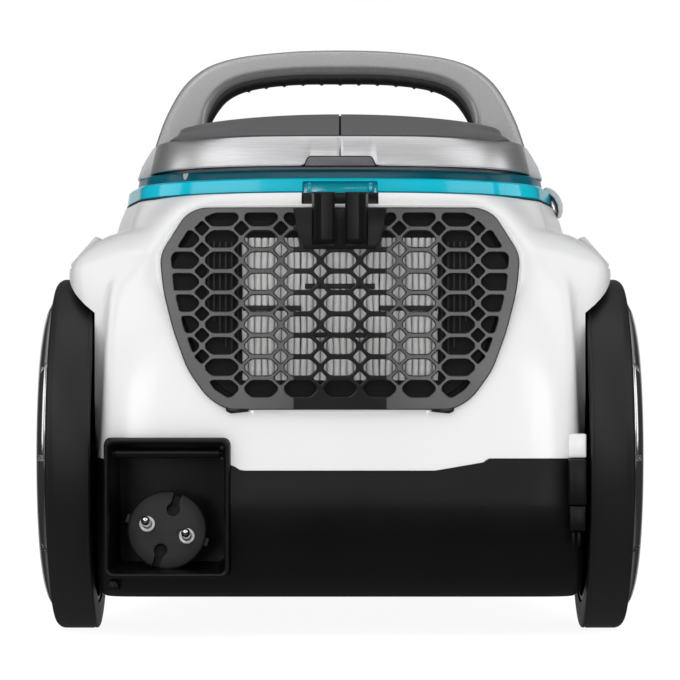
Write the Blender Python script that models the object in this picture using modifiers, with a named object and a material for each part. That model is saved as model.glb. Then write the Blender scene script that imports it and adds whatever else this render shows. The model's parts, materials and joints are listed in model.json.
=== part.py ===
"""Bagless canister vacuum cleaner, modelled as its separate parts.

Metres, +Z up. The floor is z = 0 and x = 0 is the plane of symmetry. The rear, with the exhaust
grille and the parked mains plug, faces -Y. The hose inlet faces +Y.
"""

import math

import bmesh
import bpy
from mathutils import Matrix, Vector

# Driving dimensions
GAP = 0.0003
WALL = 0.0028
LOFT_STEPS = 7

WHEEL_RADIUS = 0.0820
WHEEL_Y = -0.1100
TYRE_INNER_X = 0.1132
TYRE_OUTER_X = 0.1335
TYRE_BORE = 0.0700
CAP_RADIUS = 0.0720
CAP_OUTER_X = 0.1408
WELL_RADIUS = 0.0855
WELL_INNER_X = 0.1122
AXLE_RADIUS = 0.0060

WIDEST_Y = -0.0600
PART_LINE_Z = 0.0762
FLANGE_Z = 0.2025

GRILLE_REAR_Y = -0.1905
GRILLE_FRONT_Y = -0.1868
GRILLE_AXIS = (-0.1886, 0.1046)
GRILLE_RIM = 0.0052
GRILLE_TOP_RIM = 0.0030
HOLE_ROW_Z = 0.1521
HOLE_PITCH_X = 0.0178
HOLE_PITCH_Z = 0.00965
HOLE_HALF_X = 0.0072
HOLE_HALF_Z = 0.0036
HOLE_POINT = 0.0030
DIAMOND_HALF = 0.0030
SMALLEST_HOLE = 9e-6

BAY_LOW = Vector((-0.1067, -0.1915, 0.0280))
BAY_HIGH = Vector((-0.0497, -0.1240, 0.0911))
BAY_WALL = 0.0022

PLUG_FACE = Vector((-0.0790, -0.1680, 0.0488))
PLUG_RADIUS = 0.0178
PLUG_TILT = math.radians(8)
PLUG_ROLL = math.radians(17)
PIN_SPACING = 0.0190
PIN_RADIUS = 0.0020
CORD_RADIUS = 0.0031
CORD_Z = 0.0440

REEL_CENTRE = Vector((0.0250, -0.0950, 0.0))
REEL_FLANGE_RADIUS = 0.0660
BRAKE_PIVOT = Vector((0.0880, -0.0400, 0.0))
BRAKE_LENGTH = 0.0165
BRAKE_HALF_WIDTH = 0.0030
BRAKE_BORE = 0.0021
WINDING_RADIUS = 0.0600

MOTOR_Z = 0.1300
MOTOR_RADIUS = 0.0440
DUCT_LOW = Vector((-0.0320, -0.0517, 0.1040))
DUCT_HIGH = Vector((0.0320, -0.0276, 0.1850))
DUCT_WALL = 0.0020

CASTER_Y = 0.1320
CASTER_TRAIL = 0.0110
CASTER_WHEEL_RADIUS = 0.0140

CUP_CENTRE = Vector((0.0, 0.0340, 0.0))
CUP_RADIUS = 0.0600
CUP_WALL = 0.0024
TRAY_FLOOR_Z = 0.1880

SOCKET_POINT = Vector((0.0, 0.1737, 0.1460))
SOCKET_TILT = math.radians(21)
SOCKET_BORE = 0.0180
SOCKET_RADIUS = 0.0225
SPOUT_FRONT_Y = 0.1000

SCREW_X = 0.0800
SCREW_Y = 0.0700

ROLLER_Y = -0.1840
ROLLER_Z = 0.0843
REAR_STEP_Z = 0.0817

LID_HINGE = (0.1190, 0.2140)
HANDLE_FRONT_Y = -0.0720
HANDLE_REAR_Y = -0.1000
LID_SPLIT_Y = -0.1050
SCOOP_HALF_X = 0.0550
SCOOP_REAR_Y = -0.1160
SCOOP_FRONT_Y = -0.0540
SCOOP_FLOOR_Z = 0.2250

PEDAL_TOP = Vector((0.1130, 0.0, 0.1842))
PEDAL_LOW = Vector((0.1258, 0.0, 0.1696))
PEDAL_REAR_Y = -0.1400
PEDAL_FRONT_Y = -0.0520
PEDAL_THICKNESS = 0.0040
PEDAL_TRAVEL = 0.0025

# Each section of a loft: height, half width, rear, front, and how square the rear and the front are.
HOUSING = (
    (0.0765, 0.1120, -0.1864, 0.1937, 18.0, 3.2),
    (0.1100, 0.1120, -0.1860, 0.1887, 18.0, 3.0),
    (0.1500, 0.1115, -0.1838, 0.1737, 14.0, 2.8),
    (0.1720, 0.1085, -0.1805, 0.1577, 8.0, 2.6),
    (0.1870, 0.1020, -0.1765, 0.1417, 5.0, 2.6),
    (0.2022, 0.0990, -0.1715, 0.1267, 3.5, 2.5),
)
BASE = (
    (0.0180, 0.1045, -0.1610, 0.1677, 14.0, 3.2),
    (0.0205, 0.1085, -0.1680, 0.1777, 14.0, 3.2),
    (0.0320, 0.1115, -0.1800, 0.1907, 16.0, 3.2),
    (0.0480, 0.1120, -0.1870, 0.1957, 18.0, 3.2),
    (0.0620, 0.1120, -0.1885, 0.1967, 18.0, 3.2),
    (PART_LINE_Z, 0.1120, -0.1868, 0.1942, 18.0, 3.2),
)
BIN_FLANGE = (
    (FLANGE_Z, 0.0980, -0.1690, 0.1160, 3.3, 2.5),
    (0.2095, 0.0972, -0.1680, 0.1150, 3.3, 2.5),
    (0.2098, 0.0935, -0.1640, 0.1110, 3.2, 2.5),
    (0.2132, 0.0930, -0.1635, 0.1100, 3.2, 2.5),
)
BIN_TRAY = (
    (TRAY_FLOOR_Z, 0.0915, -0.1570, 0.1060, 3.2, 2.5),
    (0.2040, 0.0915, -0.1570, 0.1060, 3.2, 2.5),
)
LID_BAND = (
    (0.2150, 0.0886, -0.1708, 0.1000, 2.9, 2.5),
    (0.2288, 0.0850, -0.1670, 0.0980, 2.9, 2.5),
)
LID_COVER = (
    (0.2291, 0.0848, -0.1668, 0.0980, 2.9, 2.5),
    (0.2394, 0.0770, -0.1480, 0.0800, 2.8, 2.5),
    (0.2406, 0.0700, -0.1400, 0.0700, 2.7, 2.5),
)
LID_FRAME = (
    (0.2142, 0.0972, -0.1640, 0.1130, 3.0, 2.5),
    (0.2235, 0.0930, -0.1620, 0.1090, 3.0, 2.5),
    (0.2288, 0.0888, -0.1600, 0.1030, 3.0, 2.5),
)

# Colour, roughness and metallic value of each material
FINISHES = {
    "white_gloss": ((0.88, 0.88, 0.88), 0.25, 0.0),
    "black_satin": ((0.014, 0.014, 0.014), 0.45, 0.0),
    "tyre_rubber": ((0.030, 0.030, 0.030), 0.60, 0.0),
    "grey_metallic": ((0.36, 0.36, 0.37), 0.35, 0.6),
    "dark_grey": ((0.115, 0.115, 0.118), 0.40, 0.2),
    "silver_band": ((0.62, 0.62, 0.63), 0.30, 0.8),
    "teal_clear": ((0.0, 0.48, 0.60), 0.12, 0.0),
    "pleat_grey": ((0.40, 0.40, 0.39), 0.85, 0.0),
    "soft_black": ((0.030, 0.030, 0.031), 0.70, 0.0),
    "chrome": ((0.80, 0.80, 0.81), 0.12, 1.0),
    "steel": ((0.45, 0.45, 0.46), 0.32, 1.0),
    "motor_grey": ((0.20, 0.20, 0.21), 0.50, 0.3),
    "light_grey": ((0.60, 0.60, 0.60), 0.40, 0.0),
    "board_green": ((0.02, 0.16, 0.07), 0.55, 0.0),
    "foam_grey": ((0.16, 0.16, 0.17), 0.90, 0.0),
}


def clear_scene():
    for item in list(bpy.data.objects):
        bpy.data.objects.remove(item, do_unlink=True)


clear_scene()
PARTS = bpy.data.collections.new("canister_vacuum")
CUTTERS = bpy.data.collections.new("cutters")
bpy.context.scene.collection.children.link(PARTS)
bpy.context.scene.collection.children.link(CUTTERS)


def finish_material(name):
    material = bpy.data.materials.get(name)
    if material:
        return material
    colour, roughness, metallic = FINISHES[name]
    material = bpy.data.materials.new(name)
    material.use_nodes = True
    shader = material.node_tree.nodes["Principled BSDF"]
    shader.inputs["Base Color"].default_value = (*colour, 1.0)
    shader.inputs["Roughness"].default_value = roughness
    shader.inputs["Metallic"].default_value = metallic
    return material


def add_object(name, data, finish, matrix=None):
    item = bpy.data.objects.new(name, data)
    if finish is None:
        CUTTERS.objects.link(item)
        item.hide_render = True
        item.display_type = "WIRE"
    else:
        PARTS.objects.link(item)
        data.materials.append(finish_material(finish))
    if matrix is not None:
        item.matrix_world = matrix
    return item


def add_bmesh(name, bm, finish, matrix=None):
    bmesh.ops.recalc_face_normals(bm, faces=bm.faces)
    mesh = bpy.data.meshes.new(name)
    bm.to_mesh(mesh)
    bm.free()
    return add_object(name, mesh, finish, matrix)


def shade_round(item):
    item.data.shade_smooth()
    item.data.set_sharp_from_angle(angle=math.radians(35))


def box(name, low, high, finish, bevel=0.0):
    """A block between two corners, with its edges rounded by bevel."""
    low, high = Vector(low), Vector(high)
    bm = bmesh.new()
    bmesh.ops.create_cube(bm, size=1.0)
    bmesh.ops.scale(bm, vec=high - low, verts=bm.verts)
    item = add_bmesh(name, bm, finish, Matrix.Translation((low + high) / 2))
    if bevel:
        rounding = item.modifiers.new("rounding", "BEVEL")
        rounding.width = bevel
        rounding.segments = 2
    return item


def along(direction):
    """The rotation that turns +Z to a direction."""
    return Vector(direction).to_track_quat("Z", "Y").to_matrix().to_4x4()


def cylinder(name, start, end, radius, finish, segments=32, end_radius=None):
    start, end = Vector(start), Vector(end)
    bm = bmesh.new()
    top = radius if end_radius is None else end_radius
    bmesh.ops.create_cone(
        bm, cap_ends=True, segments=segments, radius1=radius, radius2=top, depth=(end - start).length
    )
    matrix = Matrix.Translation((start + end) / 2) @ along(end - start)
    item = add_bmesh(name, bm, finish, matrix)
    if finish:
        shade_round(item)
    return item


def turned(name, profile, centre, direction, finish, steps=40, closed=False):
    """A profile of (radius, height) turned about a direction, running down its outer side."""
    mesh = bpy.data.meshes.new(name)
    points = [(radius, 0.0, height) for radius, height in profile]
    edges = [(i, i + 1) for i in range(len(points) - 1)]
    if closed:
        edges.append((len(points) - 1, 0))
    mesh.from_pydata(points, edges, [])
    item = add_object(name, mesh, finish, Matrix.Translation(centre) @ along(direction))
    screw = item.modifiers.new("turn", "SCREW")
    screw.steps = steps
    screw.render_steps = steps
    screw.use_merge_vertices = True
    screw.merge_threshold = 0.00005
    screw.use_smooth_shade = True
    return item


def ring(name, inner, outer, low, high, centre, direction, finish, steps=40):
    profile = [(outer, high), (outer, low), (inner, low), (inner, high)]
    return turned(name, profile, centre, direction, finish, steps, closed=True)


def outline(half_width, rear, front, rear_power, front_power, inset=0.0):
    """A closed plan outline, a superellipse on each side of the widest line."""
    width = half_width - inset
    points = []
    ahead = (1, front - inset - WIDEST_Y, front_power)
    behind = (-1, WIDEST_Y - rear - inset, rear_power)
    for sign, reach, power in (ahead, behind):
        for step in range(2 * LOFT_STEPS):
            angle = math.pi * step / (2 * LOFT_STEPS)
            if sign < 0:
                angle += math.pi
            x = math.copysign(abs(math.cos(angle)) ** (2 / power), math.cos(angle))
            y = math.copysign(abs(math.sin(angle)) ** (2 / power), math.sin(angle))
            points.append((width * x, WIDEST_Y + reach * y))
    return points


def bridge(bm, rings):
    """Faces between rings of equally many vertices, closed by a cap at each end."""
    loops = [[bm.verts.new(point) for point in ring_points] for ring_points in rings]
    count = len(loops[0])
    for lower, upper in zip(loops, loops[1:]):
        for i in range(count):
            j = (i + 1) % count
            bm.faces.new((lower[i], lower[j], upper[j], upper[i]))
    bm.faces.new(list(reversed(loops[0])))
    bm.faces.new(loops[-1])


def loft(name, sections, finish, inset=0.0, below=0.0, above=0.0):
    """A solid through plan sections, drawn in by inset and lengthened below and above."""
    rings = []
    for index, (z, width, rear, front, rear_power, front_power) in enumerate(sections):
        if index == 0:
            z -= below
        if index == len(sections) - 1:
            z += above
        plan = outline(width, rear, front, rear_power, front_power, inset)
        rings.append([(x, y, z) for x, y in plan])
    bm = bmesh.new()
    bridge(bm, rings)
    warped = [face for face in bm.faces if len(face.verts) == 4]
    bmesh.ops.triangulate(bm, faces=warped)
    return add_bmesh(name, bm, finish)


def extrude_x(name, profile, low, high, finish):
    """A profile of (y, z) points drawn along X."""
    bm = bmesh.new()
    bridge(bm, [[(x, y, z) for y, z in profile] for x in (low, high)])
    return add_bmesh(name, bm, finish)


def extrude_y(name, profile, low, high, finish):
    """A profile of (x, z) points drawn along Y."""
    bm = bmesh.new()
    bridge(bm, [[(x, y, z) for x, z in profile] for y in (low, high)])
    return add_bmesh(name, bm, finish)


def combine(target, operation, *tools):
    for tool in tools:
        modifier = target.modifiers.new(tool.name, "BOOLEAN")
        modifier.operation = operation
        modifier.object = tool
        modifier.solver = "EXACT"
    return target


def cut(target, *tools):
    return combine(target, "DIFFERENCE", *tools)


def join(target, *tools):
    return combine(target, "UNION", *tools)


def tube(name, points, radius, finish, resolution=2):
    curve = bpy.data.curves.new(name, "CURVE")
    curve.dimensions = "3D"
    curve.bevel_depth = radius
    curve.bevel_resolution = resolution
    curve.use_fill_caps = True
    spline = curve.splines.new("POLY")
    spline.points.add(len(points) - 1)
    for point, place in zip(spline.points, points):
        point.co = (*place, 1.0)
    return add_object(name, curve, finish)


def plate_with_holes(name, border, holes, rear, front, finish):
    """A flat outline with holes, given as (x, z) points and standing upright between two y planes."""
    curve = bpy.data.curves.new(name, "CURVE")
    curve.dimensions = "2D"
    curve.fill_mode = "BOTH"
    curve.extrude = (front - rear) / 2
    for points in (border, *holes):
        spline = curve.splines.new("POLY")
        spline.points.add(len(points) - 1)
        for point, (x, z) in zip(spline.points, points):
            point.co = (x, z, 0.0, 1.0)
        spline.use_cyclic_u = True
    upright = Matrix.Translation((0, (rear + front) / 2, 0)) @ Matrix.Rotation(math.pi / 2, 4, "X")
    return add_object(name, curve, finish, upright)


def arc(centre, radius, start, end, count):
    """Points on an arc in a plane, between two angles in degrees."""
    angles = [math.radians(start + (end - start) * i / (count - 1)) for i in range(count)]
    return [(centre[0] + radius * math.cos(a), centre[1] + radius * math.sin(a)) for a in angles]


def grille_border(grow=0.0):
    """The grille's outline: wide above, narrow below, with its corners cut."""
    right = [
        (0.0515, 0.1040), (0.0600, 0.1095), (0.0690, 0.1220), (0.0755, 0.1400),
        (0.0800, 0.1580), (0.0815, 0.1740), (0.0700, 0.1920), (0.0628, 0.1954),
    ]
    centre_z = 0.15
    points = []
    for x, z in right:
        points.append((x + grow, z + grow * (1 if z > centre_z else -1)))
    return points + [(-x, z) for x, z in reversed(points)]


def clip(polygon, point, inward):
    """The part of a convex polygon on the inner side of a line."""
    kept = []
    depths = [(x - point[0]) * inward[0] + (z - point[1]) * inward[1] for x, z in polygon]
    for index, (x, z) in enumerate(polygon):
        previous_x, previous_z = polygon[index - 1]
        depth, previous = depths[index], depths[index - 1]
        if (depth > 0) != (previous > 0):
            share = previous / (previous - depth)
            kept.append((previous_x + (x - previous_x) * share, previous_z + (z - previous_z) * share))
        if depth > 0:
            kept.append((x, z))
    return kept


def clip_to_rim(polygon):
    """The part of a hole that leaves the grille's rim whole."""
    border = grille_border()
    for (x0, z0), (x1, z1) in zip(border, border[1:] + border[:1]):
        length = math.hypot(x1 - x0, z1 - z0)
        inward = ((z0 - z1) / length, (x1 - x0) / length)
        rim = GRILLE_TOP_RIM if z0 == z1 and z0 > HOLE_ROW_Z else GRILLE_RIM
        polygon = clip(polygon, (x0 + inward[0] * rim, z0 + inward[1] * rim), inward)
    return polygon


def clip_to_slot(polygon):
    """The part of a hole beside the solid field that carries the parking posts."""
    middle_x = sum(x for x, _ in polygon) / len(polygon)
    lowest = min(z for _, z in polygon)
    if abs(middle_x) > 0.0300 or lowest < 0.1740:
        return polygon
    side = 1 if middle_x > 0 else -1
    return clip(polygon, (side * 0.0195, 0.1850), (side * 0.985, -0.174))


def area_of(polygon):
    pairs = zip(polygon, polygon[1:] + polygon[:1])
    return abs(sum(x0 * z1 - x1 * z0 for (x0, z0), (x1, z1) in pairs)) / 2


def fender_section(reach):
    """A wheel fender's (x, z) section on the right, out to reach."""
    crown = 0.100 + (reach - 0.100) * 0.46
    return [
        (0.0940, 0.0820), (0.1110, 0.0820), (reach, 0.1150), (reach, 0.1670),
        (reach - 0.0015, 0.1698), (crown, 0.1846), (0.1000, 0.1868), (0.0940, 0.1868),
    ]


def fender(side):
    """The bulge of the housing over one wheel."""
    stations = (
        (-0.1680, 0.1080), (-0.1650, 0.1126), (-0.1580, 0.1172), (-0.1500, 0.1207),
        (-0.1385, 0.1246), (-0.1200, 0.1264), (-0.0800, 0.1264), (-0.0500, 0.1245),
        (-0.0250, 0.1190), (0.0000, 0.1110), (0.0150, 0.1050),
    )
    rings = [[(side * x, y, z) for x, z in fender_section(reach)] for y, reach in stations]
    bm = bmesh.new()
    bridge(bm, rings)
    return add_bmesh(f"fender_solid_{side}", bm, None)


def side_name(side):
    return "right" if side > 0 else "left"


def pedal_frame(side):
    """Along the shoulder's slope, out of it, and the slope's upper edge."""
    top = Vector((side * PEDAL_TOP.x, 0, PEDAL_TOP.z))
    low = Vector((side * PEDAL_LOW.x, 0, PEDAL_LOW.z))
    down = (low - top).normalized()
    outward = Vector((-down.z * side, 0, down.x * side)) if side > 0 else Vector((down.z, 0, -down.x))
    if outward.z < 0:
        outward = -outward
    return top, low, down, outward


def pedal_block(name, side, depth_low, depth_high, shrink, finish):
    """A slab on the shoulder's slope between two depths below its surface."""
    top, low, down, outward = pedal_frame(side)
    start = top + down * shrink
    end = low + down * (0.006 if finish is None else -0.0006)
    corners = [
        start - outward * depth_low, end - outward * depth_low,
        end - outward * depth_high, start - outward * depth_high,
    ]
    profile = [(corner.x, corner.z) for corner in corners]
    return extrude_y(name, profile, PEDAL_REAR_Y + shrink, PEDAL_FRONT_Y - shrink, finish)


def axle_holes(radius, name):
    return [
        cylinder(
            f"{name}_{side_name(side)}", (side * 0.0950, WHEEL_Y, WHEEL_RADIUS),
            (side * 0.1160, WHEEL_Y, WHEEL_RADIUS), radius, None, 24,
        )
        for side in (1, -1)
    ]


def bay_opening(name):
    margin = Vector((GAP, GAP, GAP))
    low = BAY_LOW - margin
    low.y = -0.2100
    return box(name, low, BAY_HIGH + margin, None)


def socket_direction():
    return Vector((0, math.cos(SOCKET_TILT), math.sin(SOCKET_TILT)))


def socket_place(distance):
    """A point on the hose socket's axis, outwards from its mouth."""
    return SOCKET_POINT + socket_direction() * distance


def rear_steps(name, grow):
    """Blocks where the base rises into the housing beside the plug bay and on the right."""
    right = [
        (0.0480, PART_LINE_Z), (0.0660, 0.0800), (0.0675, REAR_STEP_Z), (0.1110, REAR_STEP_Z),
        (0.1110, PART_LINE_Z),
    ]
    left = [(-0.1108, PART_LINE_Z), (-0.1108, REAR_STEP_Z), (-0.1060, REAR_STEP_Z), (-0.1060, PART_LINE_Z)]
    blocks = []
    for number, (profile, rear) in enumerate(((right, -0.1866), (left, -0.1790))):
        low_x, high_x = min(x for x, _ in profile), max(x for x, _ in profile)
        raised = []
        for x, z in profile:
            x += grow if x == high_x else -grow if x == low_x else 0.0
            raised.append((x, z + grow if z > PART_LINE_Z else z - 0.0100))
        blocks.append(extrude_y(f"{name}_{number}", raised, rear - 10 * grow, -0.1740 + grow, None))
    return blocks


def build_housing():
    housing = loft("upper_housing", HOUSING, "white_gloss")
    seat_outline = grille_border(0.0020)
    seat = extrude_y("grille_seat", seat_outline, GRILLE_FRONT_Y + GAP, -0.1660, None)
    join(housing, fender(1), fender(-1), seat)
    wells = [
        cylinder(
            f"wheel_well_{side_name(side)}", (side * WELL_INNER_X, WHEEL_Y, WHEEL_RADIUS),
            (side * 0.1500, WHEEL_Y, WHEEL_RADIUS), WELL_RADIUS, None, 48,
        )
        for side in (1, -1)
    ]
    cut(housing, loft("housing_cavity", HOUSING, None, WALL, 0.010, 0.010), *wells)
    pocket_depth = PEDAL_THICKNESS + PEDAL_TRAVEL + 0.0008
    pockets = [
        pedal_block(f"pedal_pocket_{side_name(side)}", side, pocket_depth, -0.0060, -0.0006, None)
        for side in (1, -1)
    ]
    vent = extrude_y("exhaust_opening", grille_border(-0.0060), -0.2000, -0.1500, None)
    nose_radius = SOCKET_RADIUS + 0.0006
    nose_hole = cylinder("nose_hole", socket_place(-0.060), socket_place(0.040), nose_radius, None, 28)
    axle_room = axle_holes(0.0075, "housing_axle_hole")
    cut(housing, *pockets, vent, nose_hole, bay_opening("housing_bay_cut"), *axle_room)
    cut(housing, *rear_steps("step_room", GAP))
    keeper = box("clip_keeper", (0.1035, -0.1885, 0.0822), (0.1110, -0.1740, 0.0925), None)
    join(housing, keeper)
    shade_round(housing)


def build_base():
    base = loft("base_pan", BASE, "black_satin")
    cavity = [list(section) for section in BASE]
    cavity[0][0] = 0.0212
    cavity[1][0] = 0.0240
    cut(base, loft("base_cavity", cavity, None, WALL, 0.0, 0.010))
    cup_low, cup_high = (0, CASTER_Y, 0.0185), (0, CASTER_Y, 0.0455)
    cup = cylinder("caster_cup", cup_low, cup_high, 0.0340, None, 28)
    ears = []
    for side in (1, -1):
        low_x, high_x = sorted((side * 0.0980, side * 0.1084))
        name = f"axle_ear_{side_name(side)}"
        ears.append(box(name, (low_x, -0.1220, 0.0200), (high_x, -0.0980, 0.0980), None))
    low, high = Vector((0, 0, 0.0200)), Vector((0, 0, 0.0255))
    boss = cylinder("reel_boss", REEL_CENTRE + low, REEL_CENTRE + high, 0.0120, None)
    high = Vector((0, 0, 0.0350))
    post = cylinder("brake_post", BRAKE_PIVOT + low, BRAKE_PIVOT + high, 0.0018, None, 16)
    clip_block = box("clip_block", (0.1035, -0.1915, 0.0460), (0.1110, -0.1740, REAR_STEP_Z), None)
    join(base, cup, *ears, boss, post, *rear_steps("rear_step", 0.0), clip_block)
    well = cylinder("caster_well", (0, CASTER_Y, -0.0100), (0, CASTER_Y, 0.0425), 0.0310, None, 28)
    stem_low, stem_high = (0, CASTER_Y, 0.0400), (0, CASTER_Y, 0.0500)
    stem_hole = cylinder("stem_hole", stem_low, stem_high, 0.0053, None, 24)
    axle_room = axle_holes(AXLE_RADIUS + GAP, "base_axle_hole")
    cut(base, well, stem_hole, bay_opening("base_bay_cut"), *axle_room)
    for side in (1, -1):
        low, high = (side * SCREW_X, SCREW_Y, 0.010), (side * SCREW_X, SCREW_Y, 0.030)
        cut(base, cylinder(f"screw_hole_{side_name(side)}", low, high, 0.0036, None, 16))
    shade_round(base)


def build_screws():
    profile = [
        (0.0, 0.0330), (0.0016, 0.0330), (0.0016, 0.0210), (0.0032, 0.0205),
        (0.0032, 0.0186), (0.0, 0.0186),
    ]
    for side in (1, -1):
        foot = (side * SCREW_X, SCREW_Y, 0)
        turned(f"housing_screw_{side_name(side)}", profile, foot, (0, 0, 1), "steel", 12)


def roller_bar(name, end_gap, radius, finish, segments):
    """A bar across the plug bay on the cord roller's axis, end_gap short of each side."""
    start = (BAY_LOW.x + end_gap, ROLLER_Y, ROLLER_Z)
    end = (BAY_HIGH.x - end_gap, ROLLER_Y, ROLLER_Z)
    return cylinder(name, start, end, radius, finish, segments)


def build_bay():
    bay = box("plug_bay", BAY_LOW, BAY_HIGH, "black_satin", 0.0020)
    inner_low = BAY_LOW + Vector((BAY_WALL, -0.0200, BAY_WALL))
    inner_high = BAY_HIGH - Vector((BAY_WALL, BAY_WALL, BAY_WALL))
    hole_rear, hole_front = (PLUG_FACE.x, -0.1300, CORD_Z), (PLUG_FACE.x, -0.1200, CORD_Z)
    lead_hole = cylinder("lead_hole", hole_rear, hole_front, 0.0072, None, 24)
    roller_seat = roller_bar("roller_seat", 0.0010, 0.0012, None, 12)
    cut(bay, box("bay_hollow", inner_low, inner_high, None), lead_hole, roller_seat)
    roller = roller_bar("cord_roller", 0.0030, 0.0020, "black_satin", 16)
    join(roller, roller_bar("roller_pins", 0.0014, 0.0008, None, 12))
    place = (PLUG_FACE.x, BAY_HIGH.y - BAY_WALL / 2, CORD_Z)
    ring("cord_eyelet", CORD_RADIUS + GAP, 0.0069, -0.0016, 0.0016, place, (0, 1, 0), "soft_black", 20)


def plug_directions():
    """The plug's axis towards its pins, the direction from pin to pin, and the third direction."""
    axis = Vector((0, -math.cos(PLUG_TILT), math.sin(PLUG_TILT)))
    sideways = Vector((math.cos(PLUG_ROLL), 0, -math.sin(PLUG_ROLL)))
    upward = axis.cross(sideways).normalized()
    return axis, upward.cross(axis).normalized(), upward


def turned_block(name, size, centre, turn, finish=None):
    """A block of a size about a centre, turned by a rotation matrix."""
    bm = bmesh.new()
    bmesh.ops.create_cube(bm, size=1.0)
    bmesh.ops.scale(bm, vec=size, verts=bm.verts)
    return add_bmesh(name, bm, finish, Matrix.Translation(centre) @ turn)


def build_plug():
    axis, sideways, upward = plug_directions()
    turn = Matrix((sideways, upward, axis)).transposed().to_4x4()
    profile = [
        (0.0, 0.0), (PLUG_RADIUS - 0.0008, 0.0), (PLUG_RADIUS, -0.0008),
        (PLUG_RADIUS - 0.0006, -0.0080), (0.0150, -0.0140), (0.0095, -0.0230), (0.0060, -0.0290),
        (0.0048, -0.0340), (0.0, -0.0340),
    ]
    plug = turned("mains_plug", profile, PLUG_FACE, axis, "soft_black", 28)
    carrier_centre = PLUG_FACE - axis * 0.0066
    carrier_size = (PIN_SPACING, 0.0050, 0.0026)
    carrier = turned_block("pin_carrier", carrier_size, carrier_centre, turn, "light_grey")
    pin_profile = [
        (0.0, 0.0190), (0.0013, 0.0188), (PIN_RADIUS, 0.0178), (PIN_RADIUS, -0.0050), (0.0, -0.0050),
    ]
    for sign in (1, -1):
        word = side_name(sign)
        slot = PLUG_FACE + upward * sign * 0.0098
        edge = PLUG_FACE + upward * sign * 0.0230
        middle = (slot + edge) / 2 - axis * 0.0040
        slot_size = (0.0042, (edge - slot).length, 0.0120)
        slot_low, slot_high = slot - axis * 0.0100, slot + axis * 0.0020
        earth_hole = cylinder(f"earth_hole_{word}", slot_low, slot_high, 0.0031, None, 16)
        seat = PLUG_FACE + sideways * sign * PIN_SPACING / 2
        seat_low, seat_high = seat - axis * 0.0082, seat + axis * 0.0010
        pin_seat = cylinder(f"pin_seat_{word}", seat_low, seat_high, 0.0036, None, 20)
        cut(plug, earth_hole, turned_block(f"earth_slot_{word}", slot_size, middle, turn), pin_seat)
        turned(f"plug_pin_{word}", pin_profile, seat, axis, "chrome", 14)
        collar_low, collar_high = seat - axis * 0.0079, seat + axis * 0.0006
        collar = cylinder(f"collar_{word}", collar_low, collar_high, 0.0033, None, 20)
        bore_low, bore_high = seat - axis * 0.0053, seat + axis * 0.0040
        bore = cylinder(f"collar_bore_{word}", bore_low, bore_high, PIN_RADIUS + GAP, None, 16)
        cut(join(carrier, collar), bore)
    room = Vector((PIN_SPACING, 0.0056, 0.0032))
    cut(plug, turned_block("carrier_room", room, carrier_centre, turn))
    lead_start = (PLUG_FACE.x, (PLUG_FACE - axis * 0.0345).y + 0.0008, CORD_Z)
    tube("cord_lead", [lead_start, (PLUG_FACE.x, -0.0580, CORD_Z)], CORD_RADIUS, "soft_black")


def build_reel():
    centre = REEL_CENTRE
    profile = [
        (REEL_FLANGE_RADIUS, 0.0675), (REEL_FLANGE_RADIUS, 0.0655), (0.0280, 0.0655), (0.0280, 0.0292),
        (REEL_FLANGE_RADIUS, 0.0292), (REEL_FLANGE_RADIUS, 0.0272), (0.0250, 0.0272), (0.0250, 0.0400),
        (0.0043, 0.0400), (0.0043, 0.0500), (0.0250, 0.0500), (0.0250, 0.0675),
    ]
    up = (0, 0, 1)
    turned("reel_drum", profile, centre, up, "light_grey", 24, closed=True)
    ring("cord_winding", 0.0284, WINDING_RADIUS, 0.0296, 0.0651, centre, up, "soft_black", 24)
    ring("rewind_spring", 0.0080, 0.0240, 0.0504, 0.0600, centre, up, "steel", 20)
    foot, head = Vector((0, 0, 0.0258)), Vector((0, 0, 0.0690))
    cylinder("reel_axle", centre + foot, centre + head, 0.0040, "steel", 20)
    bend_radius = 0.0260
    bend = arc((PLUG_FACE.x + bend_radius, -0.0577), bend_radius, 180, 90, 8)
    route = [(x, y, CORD_Z) for x, y in bend] + [(0.0220, -0.0577 + bend_radius, CORD_Z)]
    tube("cord_feed", route, CORD_RADIUS, "soft_black")


def build_reel_brake():
    low, high = Vector((0, 0, 0.0275)), Vector((0, 0, 0.0335))
    brake = cylinder("reel_brake", BRAKE_PIVOT + low, BRAKE_PIVOT + high, 0.0050, "black_satin", 20)
    inward = (REEL_CENTRE - BRAKE_PIVOT).normalized()
    tip = BRAKE_PIVOT + inward * (BRAKE_LENGTH - BRAKE_HALF_WIDTH)
    nose = cylinder("brake_tip", tip + low, tip + high, BRAKE_HALF_WIDTH, None, 16)
    middle = (BRAKE_PIVOT + tip + low + high) / 2
    size = ((tip - BRAKE_PIVOT).length, 2 * BRAKE_HALF_WIDTH, (high - low).z)
    turn = Matrix.Rotation(math.atan2(inward.y, inward.x), 4, "Z")
    join(brake, nose, turned_block("brake_arm", size, middle, turn))
    bore_low, bore_high = BRAKE_PIVOT + low * 0.8, BRAKE_PIVOT + high * 1.2
    cut(brake, cylinder("brake_bore", bore_low, bore_high, BRAKE_BORE, None, 16))


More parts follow.
